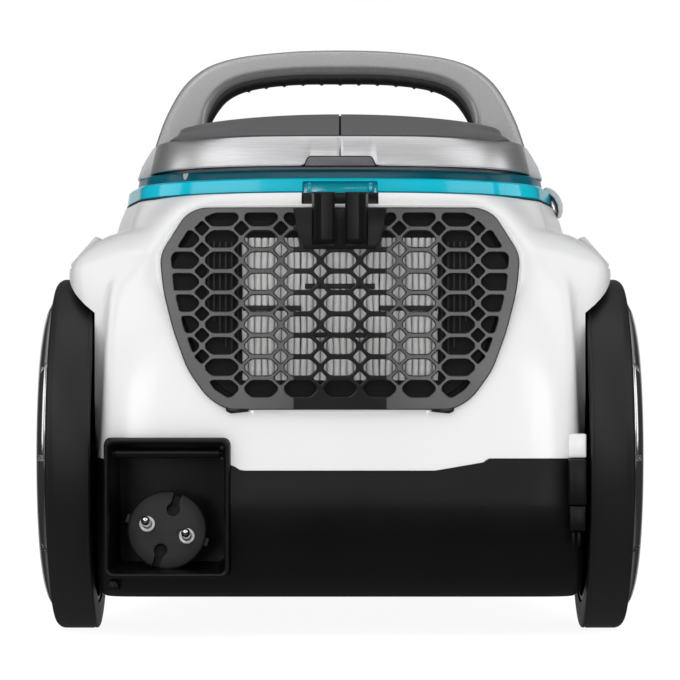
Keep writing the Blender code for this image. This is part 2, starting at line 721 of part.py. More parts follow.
def build_motor():
    centre = Vector((0, 0, MOTOR_Z))
    ahead = (0, 1, 0)
    body = [
        (0.0, -0.0620), (0.0300, -0.0620), (0.0300, -0.0640), (MOTOR_RADIUS, -0.0660),
        (MOTOR_RADIUS, -0.0900), (0.0380, -0.0920), (0.0380, -0.1300), (0.0250, -0.1320),
        (0.0120, -0.1400), (0.0, -0.1400),
    ]
    turned("motor_body", body, centre, ahead, "motor_grey", 28)
    fan = [
        (0.0, -0.0560), (0.0100, -0.0560), (0.0160, -0.0575), (0.0400, -0.0600), (0.0400, -0.0612),
        (0.0, -0.0615),
    ]
    turned("motor_fan", fan, centre, ahead, "steel", 24)
    shroud = [
        (0.0260, -0.0520), (0.0440, -0.0540), (0.0440, -0.0654), (0.0420, -0.0654),
        (0.0420, -0.0560), (0.0260, -0.0540),
    ]
    turned("fan_shroud", shroud, centre, ahead, "motor_grey", 28, closed=True)
    ring("motor_mount_ring", 0.0386, 0.0430, -0.1250, -0.1120, centre, ahead, "soft_black", 24)

    deck = box("motor_deck", (-0.0920, -0.1210, 0.0705), (0.0920, -0.0450, 0.0733), "black_satin")
    cradle_front = box("cradle_front", (-0.0330, -0.0880, 0.0720), (0.0330, -0.0700, 0.1050), None)
    cradle_rear = box("cradle_rear", (-0.0330, -0.1210, 0.0720), (0.0330, -0.1160, 0.1050), None)
    join(deck, cradle_front, cradle_rear)
    split = (0, -0.1000, MOTOR_Z)
    clearance = 0.0006
    motor_room = cylinder(
        "motor_clearance", split, (0, -0.0500, MOTOR_Z), MOTOR_RADIUS + clearance, None, 36
    )
    mount_room = cylinder("mount_clearance", (0, -0.1300, MOTOR_Z), split, 0.0430 + clearance, None, 36)
    cut(deck, motor_room, mount_room)

    box("circuit_board", (0.0560, -0.1120, 0.0760), (0.0930, -0.0560, 0.0776), "board_green")
    box("power_switch", (0.0700, -0.0950, 0.0779), (0.0840, -0.0840, 0.0880), "black_satin", 0.0008)


def build_duct():
    """The air's way from the filter tray down to the fan, with a seal on its top."""
    duct = box("air_duct", DUCT_LOW, DUCT_HIGH, "black_satin")
    wall = Vector((DUCT_WALL, DUCT_WALL, DUCT_WALL))
    room_low, room_high = DUCT_LOW + wall, DUCT_HIGH - wall
    room_high.z = DUCT_HIGH.z + 0.0100
    fan_side, inner_side = (0, DUCT_LOW.y - 0.0050, MOTOR_Z), (0, DUCT_LOW.y + 0.0060, MOTOR_Z)
    fan_hole = cylinder("fan_hole", fan_side, inner_side, 0.0230, None, 28)
    cut(duct, box("duct_room", room_low, room_high, None), fan_hole)
    seal_low = Vector((DUCT_LOW.x, DUCT_LOW.y, DUCT_HIGH.z + GAP))
    seal_high = Vector((DUCT_HIGH.x, DUCT_HIGH.y, TRAY_FLOOR_Z - GAP))
    seal = box("motor_seal", seal_low, seal_high, "soft_black")
    room_low.z = DUCT_HIGH.z - 0.0050
    cut(seal, box("seal_room", room_low, room_high, None))


def build_filter():
    border = grille_border(-0.0060 - GAP)
    frame = extrude_y("filter_frame", border, -0.1835, -0.1700, "soft_black")
    for index, (low, high) in enumerate(((-0.0440, -0.0176), (-0.0160, 0.0160), (0.0176, 0.0440))):
        window = box(f"filter_window_{index}", (low, -0.1900, 0.1175), (high, -0.1600, 0.1815), None)
        cut(frame, window)
    cut(frame, box("pleat_pocket", (-0.0450, -0.1800, 0.1168), (0.0450, -0.1600, 0.1822), None))
    half, folds = 0.0446, 24
    step = half / folds
    rear = [(-half + step * i, -0.1796 if i % 2 else -0.1756) for i in range(2 * folds + 1)]
    front = [(x, y + 0.0024) for x, y in reversed(rear)]
    bm = bmesh.new()
    bridge(bm, [[(x, y, z) for x, y in rear + front] for z in (0.1172, 0.1818)])
    add_bmesh("filter_pleats", bm, "pleat_grey")


def long_hole(x, z):
    """An elongated hole with pointed ends."""
    flat = HOLE_HALF_X - HOLE_POINT
    return [
        (x - HOLE_HALF_X, z), (x - flat, z - HOLE_HALF_Z), (x + flat, z - HOLE_HALF_Z),
        (x + HOLE_HALF_X, z), (x + flat, z + HOLE_HALF_Z), (x - flat, z + HOLE_HALF_Z),
    ]


def diamond_hole(x, z):
    return [(x - DIAMOND_HALF, z), (x, z - DIAMOND_HALF), (x + DIAMOND_HALF, z), (x, z + DIAMOND_HALF)]


def grille_holes():
    """Rows of long holes with a diamond between each four, cut off at the rim."""
    shapes = []
    for column in range(-5, 6):
        for row in range(-5, 6):
            x, z = column * HOLE_PITCH_X, HOLE_ROW_Z + row * HOLE_PITCH_Z
            shapes.append(long_hole(x, z))
            shapes.append(diamond_hole(x + HOLE_PITCH_X / 2, z + HOLE_PITCH_Z / 2))
    holes = []
    for shape in shapes:
        shape = clip_to_rim(shape)
        if len(shape) > 2:
            shape = clip_to_slot(shape)
        if len(shape) > 2 and area_of(shape) > SMALLEST_HOLE:
            holes.append(shape)
    return holes


def build_grille():
    grille = (grille_border(), grille_holes(), GRILLE_REAR_Y, GRILLE_FRONT_Y)
    plate_with_holes("rear_grille", *grille, "black_satin")
    plate_low, plate_high = (-0.0200, -0.1940, 0.1765), (0.0200, GRILLE_REAR_Y - GAP, 0.1950)
    slot = box("parking_slot", plate_low, plate_high, "black_satin", 0.0010)
    for side in (1, -1):
        low_x, high_x = sorted((side * 0.0024, side * 0.0128))
        low, high = (low_x, -0.2000, 0.1785), (high_x, -0.1915, 0.2018)
        join(slot, box(f"parking_post_{side_name(side)}", low, high, None, 0.0024))


def build_wheel(side):
    word = side_name(side)
    centre = Vector((0, WHEEL_Y, WHEEL_RADIUS))
    direction = (side, 0, 0)
    shoulder = 0.0042
    tyre = [(TYRE_BORE, TYRE_OUTER_X), (WHEEL_RADIUS - shoulder, TYRE_OUTER_X)]
    tyre += arc((WHEEL_RADIUS - shoulder, TYRE_OUTER_X - shoulder), shoulder, 60, 30, 2)
    tyre += [(WHEEL_RADIUS, TYRE_OUTER_X - shoulder), (WHEEL_RADIUS, TYRE_INNER_X + shoulder)]
    tyre += arc((WHEEL_RADIUS - shoulder, TYRE_INNER_X + shoulder), shoulder, -30, -60, 2)
    tyre += [(WHEEL_RADIUS - shoulder, TYRE_INNER_X), (TYRE_BORE, TYRE_INNER_X)]
    turned(f"tyre_{word}", tyre, centre, direction, "tyre_rubber", 32, closed=True)
    bore = AXLE_RADIUS + GAP
    rim = [
        (TYRE_BORE - GAP, 0.1325), (TYRE_BORE - GAP, 0.1150), (0.0670, 0.1150), (0.0670, 0.1230),
        (0.0130, 0.1230), (0.0130, 0.1140), (bore, 0.1140), (bore, 0.1296), (0.0130, 0.1296),
    ]
    turned(f"wheel_rim_{word}", rim, centre, direction, "black_satin", 32, closed=True)
    cap = [
        (0.0, CAP_OUTER_X), (0.0300, CAP_OUTER_X - 0.0004), (0.0560, CAP_OUTER_X - 0.0022),
        (CAP_RADIUS - 0.0020, CAP_OUTER_X - 0.0045), (CAP_RADIUS, CAP_OUTER_X - 0.0062),
        (CAP_RADIUS, 0.1338), (CAP_RADIUS - 0.0024, 0.1338), (0.0560, CAP_OUTER_X - 0.0044),
        (0.0300, CAP_OUTER_X - 0.0026), (0.0, CAP_OUTER_X - 0.0024),
    ]
    turned(f"hub_cap_{word}", cap, centre, direction, "chrome", 28)
    axle = [
        (0.0, 0.1330), (AXLE_RADIUS, 0.1330), (AXLE_RADIUS, 0.0976), (0.0110, 0.0976),
        (0.0110, 0.0930), (0.0, 0.0930),
    ]
    turned(f"axle_{word}", axle, centre, direction, "steel", 24)


def build_caster():
    top = Vector((0, CASTER_Y, 0))
    profile = [
        (0.0, 0.0540), (0.0050, 0.0540), (0.0050, 0.0400), (0.0280, 0.0400), (0.0280, 0.0345),
        (0.0, 0.0345),
    ]
    fork = turned("caster_fork", profile, top, (0, 0, 1), "black_satin", 32)
    wheel_y = CASTER_Y - CASTER_TRAIL
    for side in (1, -1):
        low_x, high_x = sorted((side * 0.0085, side * 0.0115))
        low, high = (low_x, wheel_y - 0.0070, 0.0080), (high_x, wheel_y + 0.0090, 0.0360)
        join(fork, box(f"fork_cheek_{side_name(side)}", low, high, None))
    radius = CASTER_WHEEL_RADIUS
    left, right = (-0.0200, wheel_y, radius), (0.0200, wheel_y, radius)
    cut(fork, cylinder("fork_hole", left, right, 0.0023, None, 16))
    bore, half = 0.0024, 0.0080
    edge = 0.0020
    tread = [
        (bore, half), (radius - edge, half), (radius, half - edge), (radius, edge - half),
        (radius - edge, -half), (bore, -half),
    ]
    turned("caster_wheel", tread, (0, wheel_y, radius), (1, 0, 0), "tyre_rubber", 32, closed=True)
    cylinder("caster_axle", (-0.0125, wheel_y, radius), (0.0125, wheel_y, radius), 0.0020, "steel", 16)


def build_pedals():
    for side, name in ((1, "power_pedal"), (-1, "rewind_pedal")):
        pedal_block(name, side, 0.0, PEDAL_THICKNESS, 0.0004, "light_grey")


def rear_half_space(name, y):
    """A block that takes away whatever lies behind a plane across Y."""
    return box(name, (-0.0600, y - 0.0400, 0.0700), (0.0600, y, 0.1700), None)


def build_socket():
    profile = [
        (0.0290, 0.0170), (0.0290, 0.0070), (SOCKET_RADIUS, 0.0070), (SOCKET_RADIUS, -0.0840),
        (SOCKET_BORE, -0.0840), (SOCKET_BORE, 0.0170),
    ]
    direction = socket_direction()
    socket = turned("hose_socket", profile, SOCKET_POINT, direction, "black_satin", 32, closed=True)
    seal_front = SPOUT_FRONT_Y + 0.0040
    cut(socket, rear_half_space("socket_end", seal_front + GAP))
    meeting = socket_place((SPOUT_FRONT_Y + 0.0020 - SOCKET_POINT.y) / math.cos(SOCKET_TILT))
    low, high = SPOUT_FRONT_Y + GAP - meeting.y, seal_front - meeting.y
    ring("socket_seal", 0.0194, 0.0245, low, high, meeting, (0, 1, 0), "soft_black", 24)


def cup_cylinder(name, low, high, radius):
    """A cylinder about the dust cup's axis between two heights."""
    start, end = CUP_CENTRE + Vector((0, 0, low)), CUP_CENTRE + Vector((0, 0, high))
    return cylinder(name, start, end, radius, None, 36)


def build_bin():
    tub = loft("bin_tub", BIN_FLANGE, "teal_clear")
    spout = cylinder("inlet_spout", socket_place(-0.1120), socket_place(-0.0700), 0.0215, None, 28)
    ahead_of_spout = box("spout_end", (-0.0600, SPOUT_FRONT_Y, 0.0700), (0.0600, 0.1500, 0.1700), None)
    outer = (loft("tray_outside", BIN_TRAY, None), cup_cylinder("cup_outside", 0.0840, 0.2000, CUP_RADIUS))
    join(tub, *outer, cut(spout, ahead_of_spout))
    hollow = loft("tray_inside", BIN_TRAY, None, CUP_WALL, -CUP_WALL, 0.0150)
    cup_hollow = cup_cylinder("cup_inside", 0.0864, 0.2150, CUP_RADIUS - CUP_WALL)
    inlet = cylinder("cup_inlet", socket_place(-0.1120), socket_place(-0.0600), SOCKET_BORE, None, 28)
    outlet = box("tray_outlet", (-0.0290, -0.0485, 0.1800), (0.0290, -0.0345, 0.1950), None)
    cut(tub, hollow, cup_hollow, inlet, outlet)
    for side in (1, -1):
        low_x, high_x = sorted((side * 0.0275, side * 0.0335))
        lug_profile = [(0.1050, 0.2050), (0.1220, 0.2105)] + arc(LID_HINGE, 0.0042, -30, 150, 7)
        lug_profile.append((0.1050, 0.2100))
        join(tub, extrude_x(f"bin_lug_{side_name(side)}", lug_profile, low_x, high_x, None))
    cut(tub, cylinder("bin_lug_hole", (-0.0400, *LID_HINGE), (0.0400, *LID_HINGE), 0.0022, None, 16))
    shade_round(tub)
    cylinder("lid_hinge_pin", (-0.0333, *LID_HINGE), (0.0333, *LID_HINGE), 0.0019, "steel", 16)

    seal_plan = (0.0886, -0.1540, 0.1030, 3.2, 2.5)
    seal = loft("bin_seal", ((0.1990, *seal_plan), (0.2128, *seal_plan)), "soft_black")
    seal_hollow = ((0.1900, *seal_plan), (0.2200, *seal_plan))
    cut(seal, loft("seal_inside", seal_hollow, None, 0.0036))

    centre, up = CUP_CENTRE, (0, 0, 1)
    shroud = [
        (0.0660, 0.1932), (0.0660, 0.1909), (0.0340, 0.1909), (0.0340, 0.1420), (0.0440, 0.1360),
        (0.0440, 0.1340), (0.0310, 0.1340), (0.0310, 0.1932),
    ]
    turned("cyclone_shroud", shroud, centre, up, "light_grey", 24, closed=True)
    cone = [
        (0.0360, 0.1955), (0.0360, 0.1935), (0.0295, 0.1935), (0.0140, 0.1050), (0.0120, 0.1050),
        (0.0275, 0.1955),
    ]
    turned("cyclone_cone", cone, centre, up, "teal_clear", 24, closed=True)
    box("foam_filter", (-0.0700, -0.1260, 0.1908), (0.0700, -0.0330, 0.2060), "foam_grey", 0.0020)


def handle_points(outer):
    """One side of the arch, from its foot up to the middle, as (x, z) points."""
    if outer:
        return [
            (0.0885, 0.2294), (0.0800, 0.2480), (0.0714, 0.2604), (0.0638, 0.2662), (0.0495, 0.2700),
            (0.0313, 0.2722), (0.0, 0.2731),
        ]
    return [
        (0.0655, 0.2294), (0.0640, 0.2420), (0.0618, 0.2495), (0.0550, 0.2560), (0.0425, 0.2606),
        (0.0285, 0.2624), (0.0, 0.2632),
    ]


def mirrored(points):
    """The left side's points for a right side's, running the other way."""
    return [(-x, z) for x, z in reversed(points)]


def build_band():
    band = loft("lid_band", LID_BAND, "silver_band")
    inside = loft("band_inside", LID_BAND, None, 0.0050, 0.0050, 0.0050)
    front = box("band_front", (-0.1200, LID_SPLIT_Y, 0.2000), (0.1200, 0.1500, 0.2500), None)
    notch = box("latch_notch", (-0.0176, -0.2000, 0.2000), (0.0176, -0.1500, 0.2194), None)
    cut(band, inside, front, notch)
    shade_round(band)
    box("lid_latch", (-0.0172, -0.1696, 0.2137), (0.0172, -0.1560, 0.2190), "dark_grey", 0.0006)


def build_cover():
    cover = loft("lid_cover", LID_COVER, "dark_grey")
    cut(cover, loft("cover_inside", LID_COVER, None, 0.0030, 0.0040, -0.0026))
    scoop_low = Vector((-SCOOP_HALF_X, SCOOP_REAR_Y, SCOOP_FLOOR_Z))
    scoop_high = Vector((SCOOP_HALF_X, SCOOP_FRONT_Y, 0.2550))
    opening_low = Vector((scoop_low.x, scoop_low.y, 0.2300))
    cut(cover, box("scoop_opening", opening_low, scoop_high, None))
    edge = Vector((0.0016, 0.0016, 0.0016))
    dish_high = scoop_high + edge
    dish_high.z = 0.2398
    join(cover, box("scoop_dish", scoop_low - edge, dish_high, None))
    cut(cover, box("scoop_room", scoop_low, scoop_high, None))
    for side in (1, -1):
        low_x, high_x = sorted((side * 0.0622, side * 0.1000))
        low = (low_x, HANDLE_REAR_Y - 0.0008, 0.2210)
        high = (high_x, HANDLE_FRONT_Y + 0.0008, 0.2610)
        cut(cover, box(f"leg_space_{side_name(side)}", low, high, None))
    shade_round(cover)


def build_lid_frame():
    frame = loft("lid_frame", LID_FRAME, "light_grey")
    inside = loft("frame_inside", LID_FRAME, None, 0.0250, 0.0050, 0.0050)
    channel = loft("frame_channel", LID_FRAME[:2], None, 0.0060, 0.0050, 0.0015)
    rear = box("frame_rear", (-0.1200, -0.2500, 0.2000), (0.1200, LID_SPLIT_Y + GAP, 0.2500), None)
    cut(frame, inside, channel, rear)
    for side in (1, -1):
        low_x, high_x = sorted((side * 0.0205, side * 0.0270))
        lug_profile = [(0.1020, 0.2180)] + arc(LID_HINGE, 0.0042, -90, 60, 7)
        lug_profile += [(0.1060, 0.2240), (0.1000, 0.2240)]
        join(frame, extrude_x(f"lid_lug_{side_name(side)}", lug_profile, low_x, high_x, None))
    cut(frame, cylinder("lid_lug_hole", (-0.0400, *LID_HINGE), (0.0400, *LID_HINGE), 0.0022, None, 16))
    shade_round(frame)


def build_handle():
    outer, inner = handle_points(True), handle_points(False)
    arch = outer + mirrored(outer[:-1]) + mirrored(list(reversed(inner[:-1]))) + list(reversed(inner))
    handle = extrude_y("handle_frame", arch, HANDLE_REAR_Y, HANDLE_FRONT_Y, "grey_metallic")
    rounding = handle.modifiers.new("rounding", "BEVEL")
    rounding.width = 0.0018
    rounding.segments = 2
    rounding.limit_method = "ANGLE"
    rounding.angle_limit = math.radians(50)
    under = inner[2:]
    top_side = [(x - GAP, z - GAP) for x, z in under[:-1]] + [(0.0, under[-1][1] - GAP)]
    low_side = [(x - 0.0032, z - 0.0040) for x, z in under[:-1]] + [(0.0, under[-1][1] - 0.0046)]
    grip = top_side + mirrored(top_side[:-1])
    grip += mirrored(list(reversed(low_side[:-1]))) + list(reversed(low_side))
    inset = 0.0030
    extrude_y("handle_grip", grip, HANDLE_REAR_Y + inset, HANDLE_FRONT_Y - inset, "soft_black")


def build_lever():
    profile = [
        (0.0984, 0.2070), (0.1016, 0.2075), (0.1052, 0.2010), (0.1050, 0.1950), (0.1068, 0.1944),
        (0.1078, 0.2015), (0.1036, 0.2100), (0.1000, 0.2120), (0.0984, 0.2118),
    ]
    extrude_y("bin_release_lever", profile, -0.0760, -0.0480, "light_grey")


build_housing()
build_base()
build_screws()
build_bay()
build_plug()
build_reel()
build_reel_brake()
build_motor()
build_duct()
build_filter()
build_grille()
for wheel_side in (1, -1):
    build_wheel(wheel_side)
build_caster()
build_pedals()
build_socket()
build_bin()
build_band()
build_cover()
build_lid_frame()
build_handle()
build_lever()
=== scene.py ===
"""The look of a bagless canister vacuum cleaner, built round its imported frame.

Metres, +Z up, the rear with the exhaust grille facing -Y, as in the frame.
"""

import json
import math

import bmesh
import bpy
from mathutils import Matrix, Vector


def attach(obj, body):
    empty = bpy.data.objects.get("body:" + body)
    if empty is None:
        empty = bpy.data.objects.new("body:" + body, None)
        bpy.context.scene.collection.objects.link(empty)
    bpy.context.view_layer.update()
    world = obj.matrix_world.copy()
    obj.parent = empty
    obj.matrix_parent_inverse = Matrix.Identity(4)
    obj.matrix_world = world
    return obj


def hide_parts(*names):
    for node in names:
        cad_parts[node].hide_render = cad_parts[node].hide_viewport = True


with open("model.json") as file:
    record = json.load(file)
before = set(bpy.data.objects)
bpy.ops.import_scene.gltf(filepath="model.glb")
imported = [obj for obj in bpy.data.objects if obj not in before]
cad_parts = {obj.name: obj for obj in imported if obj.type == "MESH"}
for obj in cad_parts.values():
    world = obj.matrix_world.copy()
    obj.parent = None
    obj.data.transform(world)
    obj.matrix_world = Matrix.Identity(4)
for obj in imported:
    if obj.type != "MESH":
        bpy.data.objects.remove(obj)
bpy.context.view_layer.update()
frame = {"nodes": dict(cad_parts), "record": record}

# Camera
CAMERA_PLACE = (0.0, -1.91, 0.1355)
CAMERA_LENS = 202.0
SENSOR = 36.0

# Sizes of the object
SHELL = 0.0028
STEP_RISE = 0.0055
WHEEL_Y = -0.11
WHEEL_RADIUS = 0.082
TYRE_INNER_X = 0.1132
TYRE_OUTER_X = 0.1335
CAP_OUTER_X = 0.1408
CAP_RADIUS = 0.072
WELL_INNER_X = 0.1122
WELL_RADIUS = 0.0855
GRILLE_REAR_Y = -0.1905
GRILLE_FRONT_Y = -0.1879
HOLE_ROW_Z = 0.1521
HOLE_PITCH_X = 0.0178
HOLE_PITCH_Z = 0.00965
GRILLE_TILT = 0.061
GRILLE_FLAT = 0.021
ARCH = 0.0021
LID_SPLIT_Y = -0.105
SEAM = 0.0003
SOCKET_POINT = Vector((0.0, 0.1737, 0.146))
SOCKET_TILT = math.radians(21)
PLUG_FACE = Vector((-0.079, -0.168, 0.0488))
PLUG_TILT = math.radians(8)
PLUG_ROLL = math.radians(17)
PIN_SPACING = 0.019
BAY_LOW = Vector((-0.1067, -0.1915, 0.028))
BAY_HIGH = Vector((-0.0497, -0.124, 0.0911))
HANDLE_REAR_Y = -0.1
HANDLE_FRONT_Y = -0.072
RIB_PITCH = 0.0089
RIBBED_HALF = 0.049
BASE_TOP = 0.0762
HOUSING_FOOT = 0.0765
STEP_FADE_LOW = 0.065
STEP_FADE_HIGH = 0.125
RING_POINTS = 360
SHOULDER_Z = 0.19
DROOP_WIDTH = 0.092
DROOP_REACH = 0.106
DROOP_POWER = 2.6
HOUSING_TOP = 0.2022
SEAT_Y = -0.1856
GRILLE_MIDDLE_Z = 0.15
FENDER_START = -0.17
FENDER_STEP = 0.0005
CASTER_Y = 0.132
CASTER_WHEEL_CENTRE = (0, 0.121, 0.014)
CUP_Y = 0.034
GROOVE_HALF = 0.00045
SOCKET_AXIS = Vector((0, math.cos(SOCKET_TILT), math.sin(SOCKET_TILT)))
SIDES = ((1, "right"), (-1, "left"))

# Where a crease over the rear corners starts and ends sideways, and its depth
LIP_CREASE = (0.0872, 0.0922, 0.034)
NECK_CREASE = (0.084, 0.089, 0.034)
BAND_CREASE = (0.079, 0.0868, 0.03)

# Each row: height, half width, rear, front, how square the rear and the front are, and the widest line
HOUSING = (
    (0.0765, 0.112, -0.1864, 0.1937, 18.0, 3.2, -0.06),
    (0.11, 0.112, -0.186, 0.1887, 16.0, 3.0, -0.055),
    (0.15, 0.1118, -0.1838, 0.1737, 11.0, 2.8, -0.04),
    (0.172, 0.11, -0.1805, 0.1577, 7.0, 2.6, -0.025),
    (0.187, 0.108, -0.1765, 0.1417, 5.0, 2.6, -0.015),
    (0.2022, 0.1045, -0.1715, 0.1267, 4.0, 2.5, -0.01),
)
BASE = (
    (0.018, 0.1085, -0.164, 0.1677, 18.0, 3.2, -0.06),
    (0.0205, 0.111, -0.169, 0.1777, 18.0, 3.2, -0.06),
    (0.032, 0.1118, -0.18, 0.1907, 18.0, 3.2, -0.06),
    (0.048, 0.112, -0.187, 0.1957, 18.0, 3.2, -0.06),
    (0.062, 0.112, -0.1885, 0.1967, 18.0, 3.2, -0.06),
    (0.0762, 0.112, -0.1868, 0.1942, 18.0, 3.2, -0.06),
    (0.082, 0.112, -0.1863, 0.193, 18.0, 3.2, -0.06),
)
# How far out the fenders reach at each place along the body
FENDER_REACH = (
    (-0.17, 0.106), (-0.1637, 0.1133), (-0.1579, 0.1182), (-0.1495, 0.1227), (-0.138, 0.1254),
    (-0.12, 0.1268), (-0.08, 0.1266), (-0.05, 0.1245), (-0.025, 0.119), (0.0, 0.111),
    (0.015, 0.105),
)
# Where the crease over the housing's rear corners starts at each height
HOUSING_CREASE = ((0.0765, 0.108), (0.15, 0.104), (0.172, 0.0975), (0.187, 0.092), (0.2022, 0.088))
# The right half of the grille's outline, from its foot up
GRILLE_CORNERS = (
    (0.0515, 0.104), (0.06, 0.1095), (0.069, 0.122), (0.0755, 0.14),
    (0.08, 0.158), (0.0815, 0.174), (0.07, 0.192), (0.0628, 0.1954),
)


# ---------------------------------------------------------------- numbers

def smoothstep(low, high, value):
    t = min(1.0, max(0.0, (value - low) / (high - low)))
    return t * t * (3 - 2 * t)


def smooth_max(a, b, blend):
    """The larger of two, with a round change from one to the other."""
    h = max(blend - abs(a - b), 0.0) / blend
    return max(a, b) + h * h * blend / 4


def interpolate(rows, at):
    """A smooth value of each column at a place in the first, by cubic pieces with no overshoot."""
    rows = [tuple(row) for row in rows]
    if at <= rows[0][0]:
        return rows[0][1:]
    if at >= rows[-1][0]:
        return rows[-1][1:]
    k = max(i for i in range(len(rows) - 1) if rows[i][0] <= at)
    found = []
    for column in range(1, len(rows[0])):
        slopes = [
            (rows[i + 1][column] - rows[i][column]) / (rows[i + 1][0] - rows[i][0])
            for i in range(len(rows) - 1)
        ]

        def tangent(i):
            if i == 0:
                return slopes[0]
            if i == len(rows) - 1:
                return slopes[-1]
            before, after = slopes[i - 1], slopes[i]
            return 0.0 if before * after <= 0 else 2 * before * after / (before + after)

        span = rows[k + 1][0] - rows[k][0]
        t = (at - rows[k][0]) / span
        a, b = rows[k][column], rows[k + 1][column]
        m0, m1 = tangent(k) * span, tangent(k + 1) * span
        found.append(
            (2 * t**3 - 3 * t**2 + 1) * a + (t**3 - 2 * t**2 + t) * m0
            + (3 * t**2 - 2 * t**3) * b + (t**3 - t**2) * m1
        )
    return tuple(found)


def directions(count):
    """The cosine and sine of equal steps round a circle."""
    angles = [2 * math.pi * step / count for step in range(count)]
    return [(math.cos(angle), math.sin(angle)) for angle in angles]


def superellipse(c, s, power):
    """How far out a rounded square lies in a direction."""
    return (abs(c) ** power + abs(s) ** power) ** (-1 / power)


def plan(row, inset=0.0, count=240, crease=None):
    """A closed outline: a superellipse each side of the widest line, its rear corners cut by a crease."""
    width, rear, front, rear_power, front_power, widest = row
    width -= inset
    points = []
    for c, s in directions(count):
        reach = front - inset - widest if s >= 0 else widest - rear - inset
        power = front_power if s >= 0 else rear_power
        radius = superellipse(c, s, power)
        if crease and s < 0:
            start_x, end_x, depth = crease
            nx, ny = depth, -(end_x - start_x)
            length = math.hypot(nx, ny)
            nx, ny = nx / length, ny / length
            limit = nx * (start_x - inset) + ny * (rear + inset - widest)
            outward = nx * abs(c) * width + ny * s * reach
            if outward > 0:
                radius = -smooth_max(-radius, -limit / outward, 0.02)
        points.append((radius * c * width, widest + radius * s * reach))
    return points


def level(rows, z, inset=0.0, count=240, crease=None):
    """The outline that a table of rows gives at a height."""
    return [(x, y, z) for x, y in plan(interpolate(rows, z), inset, count, crease)]


def droop(item):
    """Arches the stack above the housing's shoulder: lower towards its sides."""
    for vertex in item.data.vertices:
        side = min(abs(vertex.co.x), DROOP_REACH)
        share = smoothstep(SHOULDER_Z, HOUSING_TOP, vertex.co.z)
        vertex.co.z -= ARCH * (side / DROOP_WIDTH) ** DROOP_POWER * share
    item.data.update()
    return item


def bend(item):
    """Turns what lies each side of the grille's flat middle a little forwards."""
    bm = bmesh.new()
    bm.from_mesh(item.data)
    for side in (1, -1):
        parts = bm.verts[:] + bm.edges[:] + bm.faces[:]
        bmesh.ops.bisect_plane(
            bm, geom=parts, dist=1e-6, plane_co=(side * GRILLE_FLAT, 0, 0), plane_no=(1, 0, 0)
        )
    bmesh.ops.triangulate(bm, faces=[face for face in bm.faces if len(face.verts) > 4])
    for vertex in bm.verts:
        vertex.co.y += GRILLE_TILT * max(0.0, abs(vertex.co.x) - GRILLE_FLAT)
    bm.to_mesh(item.data)
    bm.free()
    return item


def add_node(tree, kind, **inputs):
    node = tree.nodes.new(kind)
    for name, value in inputs.items():
        node.inputs[name.replace("_", " ")].default_value = value
    return node


def ramp(tree, source, low, high, from_low=0.3, from_high=0.7):
    node = add_node(
        tree, "ShaderNodeMapRange", From_Min=from_low, From_Max=from_high, To_Min=low, To_Max=high
    )
    tree.links.new(source, node.inputs["Value"])
    return node.outputs["Result"]


def surface_material(
    name, colour, roughness, metallic=0.0, variation=0.04, grain=900.0, bump=0.06, stretch=(1, 1, 1),
    rough_swing=0.05, specular=0.5, coat=0.0, alpha=1.0, transmission=0.0, flake=0.0, ior=1.5,
):
    """Moulded or brushed surface: slow colour and roughness drift, and a fine grain in its relief."""
    material = bpy.data.materials.new(name)
    material.use_nodes = True
    tree = material.node_tree
    shader = tree.nodes["Principled BSDF"]
    shader.inputs["Metallic"].default_value = metallic
    shader.inputs["Specular IOR Level"].default_value = specular
    shader.inputs["Coat Weight"].default_value = coat
    shader.inputs["Coat Roughness"].default_value = 0.08
    shader.inputs["Alpha"].default_value = alpha
    shader.inputs["IOR"].default_value = ior
    shader.inputs["Transmission Weight"].default_value = transmission
    place = tree.nodes.new("ShaderNodeTexCoord")
    mapping = tree.nodes.new("ShaderNodeMapping")
    mapping.inputs["Scale"].default_value = stretch
    tree.links.new(place.outputs["Object"], mapping.inputs["Vector"])
    slow = add_node(tree, "ShaderNodeTexNoise", Scale=22.0, Detail=3.0)
    fine = add_node(tree, "ShaderNodeTexNoise", Scale=grain, Detail=2.0)
    tree.links.new(place.outputs["Object"], slow.inputs["Vector"])
    tree.links.new(mapping.outputs["Vector"], fine.inputs["Vector"])
    tint = tree.nodes.new("ShaderNodeMix")
    tint.data_type = "RGBA"
    tint.inputs["A"].default_value = (*[c * (1 - variation) for c in colour], 1)
    tint.inputs["B"].default_value = (*[min(1.0, c * (1 + variation)) for c in colour], 1)
    tree.links.new(ramp(tree, slow.outputs["Fac"], 0.0, 1.0), tint.inputs["Factor"])
    shade = tint.outputs["Result"]
    if flake:
        speck = tree.nodes.new("ShaderNodeMix")
        speck.data_type = "RGBA"
        speck.inputs["B"].default_value = (*[min(1.0, c * (1 + flake)) for c in colour], 1)
        tree.links.new(shade, speck.inputs["A"])
        tree.links.new(ramp(tree, fine.outputs["Fac"], 0.0, 1.0, 0.45, 0.62), speck.inputs["Factor"])
        shade = speck.outputs["Result"]
    tree.links.new(shade, shader.inputs["Base Color"])
    wear = ramp(tree, slow.outputs["Fac"], roughness - rough_swing, roughness + rough_swing)
    tree.links.new(wear, shader.inputs["Roughness"])
    relief = add_node(tree, "ShaderNodeBump", Strength=bump, Distance=0.0004)
    tree.links.new(fine.outputs["Fac"], relief.inputs["Height"])
    tree.links.new(relief.outputs["Normal"], shader.inputs["Normal"])
    return material


